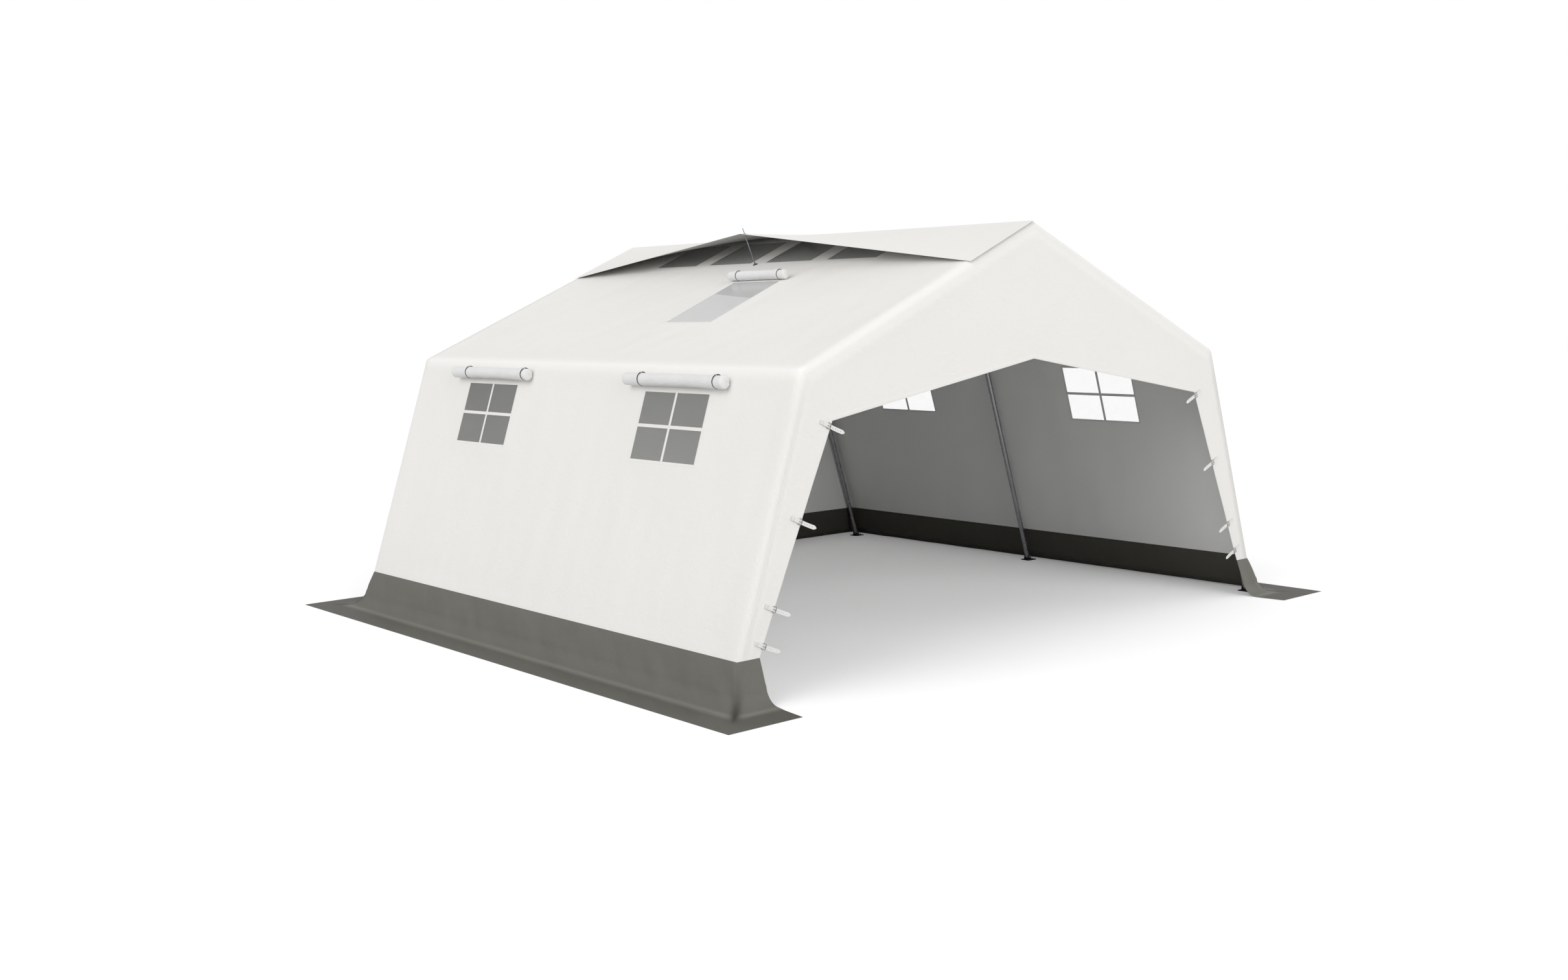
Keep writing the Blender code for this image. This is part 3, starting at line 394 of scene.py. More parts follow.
# Black braided cord along a strap's edge: a dark line that stands in for the shadow gap beside the raised strap, so
# it is painted shadow. The toggles' eyelets use the same black.
black_braid_and_painted_shadow = plain_weave("black_edge_braid_painted_shadow", "#2A2A2C", "#3A3A3C", 0.0012, 0.3, 0.7, mottle_and_painted_shading=0.3, cloudy=0.04)
# Bonded polyester thread: off-white with a slight shine.
thread = plain_weave("bonded_polyester_thread", "#E6E6E1", "#DCDCD6", 0.001, 0.2, 0.5, sheen=0.3)

# Meshes


def grid_steps(marks, step):
    """Sorted lines through every mark, with no gap wider than step."""
    marks = sorted(set(round(mark, 6) for mark in marks))
    lines = [marks[0]]
    for low, high in zip(marks, marks[1:]):
        pieces = max(1, math.ceil((high - low) / step))
        lines += [low + (high - low) * (i + 1) / pieces for i in range(pieces)]
    return lines


def grid_faces(rows, wide, flip=False, across_first=False, skip=None):
    """Faces of a grid of points, row by row; skip(i, j) tells which cells stay open."""
    corners = (0, 1, wide + 1, wide) if across_first else (0, wide, wide + 1, 1)
    if flip:
        corners = corners[::-1]
    cells = [(i, j) for i in range(rows - 1) for j in range(wide - 1) if not (skip and skip(i, j))]
    return [tuple(i * wide + j + corner for corner in corners) for i, j in cells]


def turned(found, faces, left=True):
    """Triangles of flat points, all turning the same way."""
    made = []
    for a, b, c in faces:
        ab = found[b] - found[a]
        ac = found[c] - found[a]
        made.append((a, b, c) if (ab.x * ac.y - ab.y * ac.x > 0) == left else (a, c, b))
    return made


def plain_mesh(name, points, faces, finishes=()):
    mesh = bpy.data.meshes.new(name)
    mesh.from_pydata([tuple(p) for p in points], [], faces)
    for finish in finishes:
        mesh.materials.append(finish)
    return mesh


def vertex_normals(points, faces):
    mesh = plain_mesh("scratch", points, faces)
    found = np.zeros(len(points) * 3, np.float32)
    mesh.vertex_normals.foreach_get("vector", found)
    bpy.data.meshes.remove(mesh)
    return found.reshape(-1, 3).astype(float)


def lay_cloth_map(mesh, flat):
    """Writes the "cloth" UV map from each point's flat place, and gives each corner's point."""
    corners = np.zeros(len(mesh.loops), np.int32)
    mesh.loops.foreach_get("vertex_index", corners)
    layer = mesh.uv_layers.new(name="cloth")
    layer.data.foreach_set("uv", np.asarray(flat, np.float32)[corners].ravel())
    return corners


def cloth_shell(name, points, faces, flat, thickness, outer, inner=None, normals=None, painted_shading=None):
    """A closed mesh of a sheet: points lie on its outer face, flat is their place in the cut.

    The last argument is each point's share of painted highlight, above 0, and of painted shade, below 0, which the
    cloth's material reads.
    """
    points = np.asarray(points, float)
    normals = vertex_normals(points, faces) if normals is None else np.asarray(normals, float)
    count = len(points)
    # Both faces are split along the same diagonals, so neither can cut through the other
    faces = [part for face in faces for part in (face[:3], face[:1] + face[2:]) if len(part) > 2]
    uses = {(a, b): True for face in faces for a, b in zip(face, face[1:] + face[:1])}
    rim = [(b, a, a + count, b + count) for a, b in uses if (b, a) not in uses]
    back = [tuple(i + count for i in reversed(face)) for face in faces]
    both = np.vstack([points, points - normals * thickness])
    mesh = plain_mesh(name, both, faces + back + rim, (outer, inner or outer))
    mesh.polygons.foreach_set("material_index", [0] * len(faces) + [1] * len(back) + [0] * len(rim))
    corners = lay_cloth_map(mesh, np.tile(flat, (2, 1)))
    if painted_shading is not None:
        mottle_and_painted_shading = mesh.attributes.new("painted_shading", "FLOAT", "POINT")
        mottle_and_painted_shading.data.foreach_set("value", np.tile(np.asarray(painted_shading, np.float32), 2))
    loop_normals = np.vstack([normals, -normals])[corners]
    for polygon in list(mesh.polygons)[len(faces) + len(back) :]:
        loop_normals[list(polygon.loop_indices)] = tuple(polygon.normal)
    mesh.polygons.foreach_set("use_smooth", [True] * len(mesh.polygons))
    mesh.normals_split_custom_set([tuple(n) for n in loop_normals])
    return mesh


def linked(name, data):
    made = bpy.data.objects.new(name, data)
    bpy.context.scene.collection.objects.link(made)
    return made


def add_piece(name, mesh, body="tent", replaces=()):
    made = linked(name, mesh)
    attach(made, body)
    if replaces:
        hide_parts(*replaces)
    return made


# The cover: six panels of one skin, with rounded folds between them


def section_corners(inset):
    """The cover's section moved inwards: foot, eave, ridge, eave, foot, as (x, z)."""
    deep = -3.0
    top = RIDGE_HEIGHT - inset / math.cos(ROOF_ANGLE)
    right = [(wall_x(deep, inset), deep), eave_section(inset)]
    left = [(-x, z) for x, z in reversed(right)]
    return np.array(right + [(0.0, top)] + left)


def rounded(points, radius=EDGE_RADIUS, end_radius=EDGE_RADIUS):
    """Points of the sharp cover moved onto its rounded folds, and their normals."""
    corners = section_corners(radius)
    flat = points[:, [0, 2]]
    nearest = flat.copy()
    best = np.full(len(flat), 1e9)
    inside = np.ones(len(flat), bool)
    for a, b in zip(corners, corners[1:]):
        along = b - a
        share = np.clip(((flat - a) @ along) / (along @ along), 0, 1)
        foot = a + share[:, None] * along
        gap = np.linalg.norm(flat - foot, axis=1)
        outward = np.array([along[1], -along[0]])
        inside &= (flat - a) @ outward < 1e-9
        closer = gap < best
        nearest[closer] = foot[closer]
        best[closer] = gap[closer]
    nearest[inside] = flat[inside]
    limit = HALF_LENGTH - end_radius
    core = np.column_stack([nearest[:, 0], np.clip(points[:, 1], -limit, limit), nearest[:, 1]])
    away = points - core
    away /= np.linalg.norm(away, axis=1)[:, None]
    return core + away * radius, away


def folds(places, seed, layers):
    """Soft folds in cloth from 0 to 1; a layer is (heading, length, width, share) of a fold."""
    found = np.zeros(len(places))
    for k, (heading, length, width, share) in enumerate(layers):
        c = math.cos(math.radians(heading))
        s = math.sin(math.radians(heading))
        along = (places[:, 0] * c + places[:, 1] * s) / length
        across = (-places[:, 0] * s + places[:, 1] * c) / width
        for i, (a, b) in enumerate(zip(along, across)):
            found[i] += share * noise.noise(Vector((a, b, seed * 7.3 + k * 3.1)))
    return np.clip(0.5 + 0.5 * found, 0, 1)


def window_box(way):
    """A window as (low y, high y, low s, high s), with s down the wall from the eave."""
    centre = way * WINDOW_OFFSET
    edges = (centre - WINDOW_WIDTH / 2, centre + WINDOW_WIDTH / 2)
    return *edges, wall_length(WINDOW_HEAD_HEIGHT), wall_length(WINDOW_SILL_HEIGHT)


def window_panes():
    """The four panes of both windows of a wall, between their bars."""
    bar = WINDOW_BAR / 2
    panes = []
    for way in ENDS.values():
        low_y, high_y, head, sill = window_box(way)
        centre = way * WINDOW_OFFSET
        middle = (head + sill) / 2
        for low, high in ((low_y, centre - bar), (centre + bar, high_y)):
            panes += [(low, high, head, middle - bar), (low, high, middle + bar, sill)]
    return panes


VENT_STRIP = (VENT_CENTRES[0] - VENT_WIDTH / 2, VENT_CENTRES[-1] + VENT_WIDTH / 2, VENT_TOP, VENT_BOTTOM)
SKYLIGHT_LOW = SKYLIGHT_CENTRE - SKYLIGHT_WIDTH / 2
SKYLIGHT_BOX = (SKYLIGHT_LOW, SKYLIGHT_LOW + SKYLIGHT_WIDTH, SKYLIGHT_TOP, SKYLIGHT_BOTTOM)
ROOF_HOLES = [(c - VENT_WIDTH / 2, c + VENT_WIDTH / 2, VENT_TOP, VENT_BOTTOM) for c in VENT_CENTRES] + [SKYLIGHT_BOX]
WALL_HOLES = window_panes()

# Distances from a fold or an end at which the cover has lines of points
FOLD_MARKS = (0.0, 0.005, 0.010, 0.015, 0.020, 0.032)
END_MARKS = (0.0, 0.008, 0.017, 0.026, 0.034, 0.042, 0.058)
WALL_LENGTH = wall_length(SKIRT_HEIGHT)
ROOF_LINES = grid_steps(
    [*FOLD_MARKS, *(ROOF_LENGTH - m for m in FOLD_MARKS), *(hole[k] for hole in ROOF_HOLES for k in (2, 3))], CELL
)
WALL_LINES = grid_steps(
    [*FOLD_MARKS, WALL_LENGTH, WALL_LENGTH - 0.02, *(pane[k] for pane in WALL_HOLES for k in (2, 3))], CELL
)


def side_panel(plane, side, lines, holes):
    """Points, faces and flat places of a roof slope or side wall on the sharp cover."""
    ends = [s * (HALF_LENGTH - m) for m in END_MARKS for s in (-1, 1)]
    columns = grid_steps(ends + [hole[k] for hole in holes for k in (0, 1)], CELL)

    def in_hole(i, j):
        y = (columns[j] + columns[j + 1]) / 2
        s = (lines[i] + lines[i + 1]) / 2
        return any(a < y < b and c < s < d for a, b, c, d in holes)

    flat = [(y, s) for s in lines for y in columns]
    points = [on_plane(plane, s, y) for y, s in flat]
    return np.array(points), grid_faces(len(lines), len(columns), side < 0, skip=in_hole), np.array(flat)


def border_distance(flat, holes):
    """Distance of flat places from the nearest of some boxes (low y, high y, low s, high s)."""
    found = np.full(len(flat), 1e9)
    for a, b, c, d in holes:
        dy = np.maximum(np.maximum(a - flat[:, 0], flat[:, 0] - b), 0)
        ds = np.maximum(np.maximum(c - flat[:, 1], flat[:, 1] - d), 0)
        found = np.minimum(found, np.hypot(dy, ds))
    return found


def smooth_share(values, low, high):
    t = np.clip((values - low) / (high - low), 0, 1)
    return t * t * (3 - 2 * t)


def gable_panel(end, with_door):
    """Points, faces and flat places of a gable, triangulated inside its outline."""
    low = SKIRT_HEIGHT + 0.012
    door_gap = 0.02
    levels = [EAVE_HEIGHT - s * math.cos(WALL_ANGLE) for s in WALL_LINES]
    slope = [(s * math.cos(ROOF_ANGLE), RIDGE_HEIGHT - s * math.sin(ROOF_ANGLE)) for s in ROOF_LINES]
    half = slope[:-1] + [(wall_x(z), z) for z in levels]
    outline = [(-x, z) for x, z in reversed(half)] + half[1:]
    foot_x = outline[-1][0]
    if with_door:
        jamb = [(DOOR_FOOT_HALF_WIDTH, SKIRT_HEIGHT), (DOOR_SHOULDER_HALF_WIDTH, DOOR_SHOULDER_HEIGHT)]
        door = jamb + [(0.0, DOOR_PEAK_HEIGHT)] + [(-x, z) for x, z in reversed(jamb)]
        edge = []
        for (x0, z0), (x1, z1) in zip(door, door[1:]):
            count = math.ceil(math.hypot(x1 - x0, z1 - z0) / CELL)
            edge += [(x0 + (x1 - x0) * i / count, z0 + (z1 - z0) * i / count) for i in range(count)]
        steps = grid_steps([DOOR_FOOT_HALF_WIDTH] + [foot_x - m for m in END_MARKS], CELL)
        right_foot = [(x, SKIRT_HEIGHT) for x in steps[1:-1][::-1]]
        bottom = right_foot + edge + door[-1:] + [(-x, z) for x, z in reversed(right_foot)]
    else:
        marks = [s * (foot_x - m) for m in END_MARKS for s in (-1, 1)]
        bottom = [(x, SKIRT_HEIGHT) for x in grid_steps(marks, CELL)][1:-1][::-1]
    planes = [plane(side)[::2] for side in (-1, 1) for plane in (roof_plane, wall_plane)]

    def depths(x, z):
        return [-((x - p.x) * n.x + (z - p.z) * n.z) for p, n in planes]

    inside = []
    for x, z in outline:
        for (_, n), gap in zip(planes, depths(x, z)):
            if abs(gap) < 1e-6:
                places = [(x - n.x * mark, z - n.z * mark, mark) for mark in END_MARKS[1:]]
                inside += [(a, b) for a, b, mark in places if min(depths(a, b)) > mark - 1e-6]
    # Rows of points over the rest, each shifted half a cell from the one below
    across = math.ceil(GROUND_HALF_WIDTH / CELL)
    for i in range(int(RIDGE_HEIGHT / CELL)):
        z = SKIRT_HEIGHT + (i + 0.7) * CELL * 0.9
        row = [(j * CELL + (CELL / 2 if i % 2 else 0.0), z) for j in range(-across, across + 1)]
        inside += [(x, z) for x, z in row if min(depths(x, z)) > END_MARKS[-1] + CELL * 0.4]

    def on_cloth(x, z):
        if z < low:
            return False
        jamb_x = door_x(min(max(z, SKIRT_HEIGHT), DOOR_SHOULDER_HEIGHT))
        top = DOOR_PEAK_HEIGHT - abs(x) / DOOR_SHOULDER_HALF_WIDTH * (DOOR_PEAK_HEIGHT - DOOR_SHOULDER_HEIGHT)
        over_header = z > top + door_gap and z > DOOR_SHOULDER_HEIGHT
        return not with_door or abs(x) > jamb_x + door_gap or over_header

    ring = outline + bottom
    everything = [Vector(p) for p in ring + [p for p in inside if on_cloth(*p)]]
    found, _, faces, _, _, _ = delaunay_2d_cdt(everything, [], [list(range(len(ring)))], 1, 1e-5)
    points = np.array([(v.x, end * HALF_LENGTH, v.y) for v in found])
    return points, turned(found, faces, end < 0), np.array([(v.x, v.y) for v in found])


# Layers of soft folds as (heading in degrees, length, width, share), and how deep they go
ROOF_FOLDS = [(62, 1.3, 0.17, 0.9), (100, 1.0, 0.12, 0.5), (20, 1.6, 0.35, 0.7)]
WALL_FOLDS = [(88, 1.4, 0.16, 0.9), (70, 0.9, 0.11, 0.45), (110, 1.3, 0.30, 0.7)]
GABLE_FOLDS = [(84, 1.2, 0.15, 0.9), (60, 0.9, 0.12, 0.5), (120, 1.4, 0.30, 0.6)]
FOLD_DEPTH = 0.010
# The folds fade out over these distances from a panel's border, the skirt's seam and an opening
ROOF_CALM = (0.05, 0.22)
WALL_CALM = (0.05, 0.20)
GABLE_CALM = (0.04, 0.2)
SEAM_CALM = (0.0, 0.12)
HOLE_CALM = (0.03, 0.12)
# The front gable beside its door is tauter than the back one
DOOR_GABLE_SHARE = 0.6
# Padding at the folds makes them shade as if they were rounder than they are
SHADE_RADIUS = 0.100
SHADE_END_RADIUS = 0.080
# Widths and shares of the painted highlight along the eave's fold, the tent's ends and the roof's edge over each
# gable
EAVE_HIGHLIGHT = (0.05, 0.7)
END_HIGHLIGHT = (0.10, 0.10)
GABLE_HIGHLIGHT = (0.05, 0.10)


def fold_highlight(distance, width, most):
    return most * np.exp(-((distance / width) ** 2))


def cover_panels():
    """Each panel's points, faces, flat places, fold depths and wear, on the sharp cover."""
    panels = {}
    for name, side in SIDES.items():
        holes = ROOF_HOLES if side < 0 else []
        points, faces, flat = side_panel(roof_plane(side), side, ROOF_LINES, holes)
        end_gap = HALF_LENGTH - np.abs(flat[:, 0])
        share = smooth_share(np.minimum(np.minimum(flat[:, 1], ROOF_LENGTH - flat[:, 1]), end_gap), *ROOF_CALM)
        if holes:
            share *= smooth_share(border_distance(flat, holes + [VENT_STRIP]), *HOLE_CALM)
        # Painted highlight: paler canvas near the ends and along the eave's fold
        painted_highlight = np.maximum(fold_highlight(end_gap, *END_HIGHLIGHT), fold_highlight(ROOF_LENGTH - flat[:, 1], *EAVE_HIGHLIGHT))
        panels["roof_" + name] = (points, faces, flat, share * folds(flat, 1 + side, ROOF_FOLDS), painted_highlight)
        points, faces, flat = side_panel(wall_plane(side), side, WALL_LINES, WALL_HOLES)
        rim = np.minimum(flat[:, 1], HALF_LENGTH - np.abs(flat[:, 0]))
        share = smooth_share(rim, *WALL_CALM) * smooth_share(WALL_LENGTH - flat[:, 1], *SEAM_CALM)
        share *= smooth_share(border_distance(flat, WALL_HOLES), *HOLE_CALM)
        # Painted highlight along the eave's fold
        painted_highlight = fold_highlight(flat[:, 1], *EAVE_HIGHLIGHT)
        panels["side_wall_" + name] = (points, faces, flat, share * folds(flat, 11 + side, WALL_FOLDS), painted_highlight)
    for name, end in ENDS.items():
        points, faces, flat = gable_panel(end, end < 0)
        out = np.abs(flat[:, 0])
        wall_gap = (wall_x(0) - out) * math.cos(WALL_ANGLE) - flat[:, 1] * math.sin(WALL_ANGLE)
        roof_gap = (RIDGE_HEIGHT - flat[:, 1]) * math.cos(ROOF_ANGLE) - out * math.sin(ROOF_ANGLE)
        share = smooth_share(np.minimum(wall_gap, roof_gap), *GABLE_CALM)
        share *= smooth_share(flat[:, 1] - SKIRT_HEIGHT, *SEAM_CALM)
        if end < 0:
            share *= DOOR_GABLE_SHARE
        # Painted highlight along the roof's edge over the gable
        painted_highlight = fold_highlight(roof_gap, *GABLE_HIGHLIGHT)
        panels["gable_" + name] = (points, faces, flat, share * folds(flat, 21 + end, GABLE_FOLDS), painted_highlight)
    return panels


def build_cover():
    panels = cover_panels()
    # All panels share their border points, so that their normals agree across the seams.
    everything = np.vstack([panel[0] for panel in panels.values()])
    depths = np.concatenate([panel[3] for panel in panels.values()])
    placed, away = rounded(everything)
    upper = smooth_share(everything[:, 2], EAVE_HEIGHT - 0.25, EAVE_HEIGHT + 0.05)
    _, soft = rounded(everything, SHADE_RADIUS, EDGE_RADIUS + (SHADE_END_RADIUS - EDGE_RADIUS) * upper)
    _, first, back = np.unique(np.round(everything, 5), axis=0, return_index=True, return_inverse=True)
    back = back.ravel()
    placed = placed - away * (depths * FOLD_DEPTH)[:, None]
    merged_faces = []
    starts = {}
    start = 0
    for name, (points, faces, _, _, _) in panels.items():
        starts[name] = start
        merged_faces += [tuple(int(back[start + i]) for i in face) for face in faces]
        start += len(points)
    normals = vertex_normals(placed[first], merged_faces)[back] + soft - away
    normals /= np.linalg.norm(normals, axis=1)[:, None]
    built = {}
    for name, (_, faces, flat, _, painted_highlight) in panels.items():
        used = np.unique(np.array([i for face in faces for i in face]))
        renumber = {int(old): new for new, old in enumerate(used)}
        faces = [tuple(renumber[i] for i in face) for face in faces]
        rows = starts[name] + used
        skins = (canvas_outside, canvas_inside)
        label = name + "_cloth"
        mesh = cloth_shell(label, placed[rows], faces, flat[used], CANVAS, *skins, normals[rows], painted_highlight[used])
        built[name] = add_piece(label, mesh, replaces=[name])
    return built, placed[first], merged_faces


cover, skin_points, skin_faces = build_cover()


# Mud skirts. A place's way is its share of the way from the sewn edge (0) over the crease
# (0.5) to the ground cloth's edge (1).

GROUND_TOP = 0.002
# Points from the door to the corner, round a corner, along the side, and to the back's middle
SKIRT_COUNTS = (12, 8, 120, 70)
SLOPE_STEPS = 8
BEND_STEPS = 14
GROUND_STEPS = 6
# Hanging waves: their width along the skirt and how far each pushes the cloth out
WAVE = (0.12, 0.012)
SWELL = (0.6, 0.006)
HANG = 0.003
# The two halves meet flat within this distance of the middle of the back
MEETING = 0.35
# The surplus cloth folds in at each corner: its depth, its reach, and the back's share of it
CORNER_TUCK = 0.034
TUCK_REACH = 0.045
BACK_TUCK = 0.35
# The ways over which a tuck deepens above the crease, and runs out below it
TUCK_WAYS = (0.45, 0.16)
# A rounded welt stands up along the crease
WELT_WAY = 0.47
WELT_WIDTH = 0.045
WELT_RISE = 0.005
WELT_WAVE = 0.3
# The ground cloth is rumpled; nothing goes below the lowest height
RUMPLE_WIDTH = 0.28
RUMPLE_RISE = 0.0028
LOWEST = 0.0012
# How strongly the crease is painted paler as a highlight, and how dark the tucks and the ground cloth are painted as
# shade
WELT_HIGHLIGHT = 0.8
TUCK_SHADE = 0.85
TUCK_SHADE_REACH = 0.034
GROUND_SHADE = 0.24


def skirt_level(at_height, crease, radius, height, depth):
    """The skirt's distance out at a height: its slope, then the bend onto the ground."""
    reach = radius + depth
    drop = GROUND_TOP + radius - height
    if drop <= 0:
        return at_height(height, depth)
    arc = crease - math.sqrt(max(reach * reach - drop * drop, 0.0))
    return max(arc, at_height(height, depth))


def end_plane(height, depth):
    """The end skirt's face leans outwards from the gable's foot."""
    run = max(SKIRT_HEIGHT - height, 0.0) * math.tan(END_SKIRT_LEAN)
    return HALF_LENGTH + run - depth / math.cos(END_SKIRT_LEAN)


def skirt_profile():
    """Rings of the skirt from its top edge to the ground cloth's edge.

    Each is (half width, half length, height, corner radius, way).
    """
    end_turn = math.radians(90) - END_SKIRT_LEAN
    side_radius = SIDE_CREASE / math.tan((math.radians(90) - WALL_ANGLE) / 2)
    end_radius = END_CREASE / math.tan(end_turn / 2)
    side_crease = GROUND_HALF_WIDTH + SIDE_CREASE
    end_crease = end_plane(0, 0) + END_CREASE
    bend = [GROUND_TOP + end_radius * (1 - math.cos(end_turn * (1 - k / BEND_STEPS))) for k in range(BEND_STEPS + 1)]
    heights = [SKIRT_HEIGHT + 0.015, SKIRT_HEIGHT, SKIRT_HEIGHT - 0.012]
    heights += [heights[2] + (bend[0] - heights[2]) * k / SLOPE_STEPS for k in range(1, SLOPE_STEPS)]
    heights += bend
    rings = []
    for k, z in enumerate(heights):
        # The sewn edge lies inside the wall
        tuck = 0.0015 if z > SKIRT_HEIGHT - 0.006 else 0.0
        x = skirt_level(wall_x, side_crease, side_radius, z, tuck)
        y = skirt_level(end_plane, end_crease, end_radius, z, tuck)
        way = 0.5 * k / (len(heights) - 1)
        rings.append((x, y, z, EDGE_RADIUS * (1 - 0.8 * way * 2), way))
    for k in range(1, GROUND_STEPS + 1):
        out = k / GROUND_STEPS
        edge = (side_crease + SIDE_GROUND_CLOTH * out, end_crease + END_GROUND_CLOTH * out)
        rings.append((*edge, GROUND_TOP, EDGE_RADIUS * 0.2 * (1 - out) + 0.002, 0.5 + 0.5 * out))
    return rings


def skirt_path(half_x, half_y, radius, door):
    """Places (x, y, outward x, outward y) on a ring, from the door to the middle of the back."""
    front, corner, along, back = SKIRT_COUNTS
    x = half_x - radius
    y = half_y - radius
    middle = 0.0002
    runs = [
        ((door, -half_y), (x, -half_y), (0, -1), front),
        ((x, -y), None, None, corner),
        ((half_x, -y), (half_x, y), (1, 0), along),
        ((x, y), None, None, corner),
        ((x, half_y), (middle, half_y), (0, 1), back),
    ]
    places = []
    for k, (start, stop, out, count) in enumerate(runs):
        for i in range(0 if k == 0 else 1, count + 1):
            share = i / count
            if stop is None:
                angle = math.radians(90) * (share - 1 if start[1] < 0 else share)
                nx = math.cos(angle)
                ny = math.sin(angle)
                places.append((start[0] + radius * nx, start[1] + radius * ny, nx, ny))
            else:
                places.append((*(a + (b - a) * share for a, b in zip(start, stop)), *out))
    return places


def corner_depth(way):
    """How far the corner's fold is drawn in."""
    if way < 0.5:
        return CORNER_TUCK * smooth_one(way / TUCK_WAYS[0])
    return CORNER_TUCK * (1 - smooth_one((way - 0.5) / TUCK_WAYS[1]))


def smooth_one(t):
    t = min(max(t, 0.0), 1.0)
    return t * t * (3 - 2 * t)


def build_skirt(name, side):
    points = []
    flat = []
    painted_shading = []
    down = 0.0
    last = None
    for half_x, half_y, z, radius, way in skirt_profile():
        beyond = max(half_y - end_plane(0, 0) - END_CREASE, 0.0) / END_GROUND_CLOTH
        row = skirt_path(half_x, half_y, radius, DOOR_FOOT_HALF_WIDTH + SKIRT_CUT_FLARE * beyond)
        if last:
            down += math.hypot(half_x - last[0], z - last[1])
        last = (half_x, z)
        corner = row[SKIRT_COUNTS[0] + SKIRT_COUNTS[1] // 2]
        tucked = corner_depth(way)
        # Waves are deepest half way down the slope, and there are none at the sewn edge
        waving = math.sin(math.pi * (way / 0.5)) if way < 0.5 else 0.0
        travelled = 0.0

        def waves(width, level, seed):
            return noise.noise(Vector((travelled / width, level, seed + side)))

        for j, (x, y, nx, ny) in enumerate(row):
            if j:
                travelled += math.hypot(x - row[j - 1][0], y - row[j - 1][1])
            meet = smooth_one(x / MEETING) if y > 0 else 1.0
            bulge = HANG + WAVE[1] * waves(WAVE[0], down * 1.2, 3.0) + SWELL[1] * waves(SWELL[0], down * 0.8, 9.0)
            push = meet * waving * max(bulge, -HANG)
            reach = math.hypot(x - corner[0], abs(y) - abs(corner[1]))
            dent = math.exp(-((reach / TUCK_REACH) ** 2))
            pull = dent * tucked * (BACK_TUCK if y > 0 else 1.0)
            into = math.copysign(math.sqrt(0.5), y) if dent > 1e-4 else 0.0
            lift = 0.0
            if way > 0.5:
                lift = RUMPLE_RISE * meet * max(waves(RUMPLE_WIDTH, down * 3.0, 5.0), 0.0)
                lift *= math.sin(math.pi * (way - 0.5) / 0.5) + 0.25
            welt = math.exp(-(((way - WELT_WAY) / WELT_WIDTH) ** 2)) * (1 - dent)
            lift += WELT_RISE * welt * (0.75 + 0.5 * meet * waves(WELT_WAVE, 2.0, 0.0))
            px = x + nx * push - abs(into) * pull
            py = y + ny * push - into * pull
            points.append((side * px, py, max(z + lift, LOWEST)))
            flat.append((travelled, down))
            # The welt gets a painted highlight; the corner tuck and the flat ground cloth get painted shade
            tuck_shade = math.exp(-((reach / TUCK_SHADE_REACH) ** 2)) * tucked / CORNER_TUCK
            ground = GROUND_SHADE * smooth_one((way - 0.52) / 0.05)
            painted_shading.append(max(welt, 0.0) * WELT_HIGHLIGHT - TUCK_SHADE * tuck_shade - ground)
    faces = grid_faces(len(points) // len(row), len(row), side < 0)
    label = "skirt_cloth_" + name
    # The skirt's back is painted darker: painted shade inside the tent
    mesh = cloth_shell(label, points, faces, flat, CANVAS, skirt_outside, skirt_back_painted_shade, painted_shading=painted_shading)
    piece = add_piece(label, mesh, replaces=["skirt_" + name])


for name, side in SIDES.items():
    build_skirt(name, side)


# Nets and film behind the openings


# How far each hangs inwards at its middle
WINDOW_SAG = 0.004
VENT_SAG = 0.006
FILM_SAG = 0.003


def build_backing(name, node, slot, plane, box, finish, sag, rests_on):
    """A sheet sewn inside an opening, hanging a touch slack between its edges."""
    step = 0.04
    inside = 0.0016
    low_y, low_s = box[0] - NET_LAP, box[2] - NET_LAP
    high_y, high_s = box[1] + NET_LAP, box[3] + NET_LAP
    columns = grid_steps([low_y, high_y], step)
    lines = grid_steps([low_s, high_s], step)
    points = []
    flat = []
    for s in lines:
        for y in columns:
            across = (y - low_y) / (high_y - low_y)
            along = (s - low_s) / (high_s - low_s)
            dip = sag * math.sin(math.pi * across) * math.sin(math.pi * along)
            points.append(on_plane(plane, s, y, -(inside + dip)))
            flat.append((y - low_y, s - low_s))
    flip = Y_AXIS.cross(plane[1]).dot(plane[2]) <= 0
    mesh = plain_mesh(name, points, grid_faces(len(lines), len(columns), flip, across_first=True), [finish])
    lay_cloth_map(mesh, flat)
    mesh.shade_smooth()
    made = add_piece(name, mesh, replaces=[node])


for name, side in SIDES.items():
    for end, way in ENDS.items():
        label = f"{name}_{end}"
        names = ("window_net_" + label, "window_mesh_" + label, "mosquito_mesh")
        build_backing(*names, wall_plane(side), window_box(way), window_net, WINDOW_SAG, f"side_wall_{name}_cloth")
slope = roof_plane(-1)
build_backing("vent_net", "vent_mesh", "mosquito_mesh", slope, VENT_STRIP, vent_net, VENT_SAG, "roof_left_cloth")
names = ("skylight_pane", "skylight_film", "skylight_film")
build_backing(*names, slope, SKYLIGHT_BOX, skylight_film, FILM_SAG, "roof_left_cloth")


# Ridge flap

# How far the cloth sags between its taut lines, its creases, and its gap over the roof
FLAP_SAG = 0.010
FLAP_CREASE = 0.004
FLAP_CREASE_WIDTH = 0.22
FLAP_GAP = 0.0013
STAY_HOLE = 0.007


def flap_edge(y):
    peak = FLAP_REACH * math.cos(ROOF_ANGLE)
    return peak + (FLAP_DEPTH - peak) * abs(y) / HALF_LENGTH


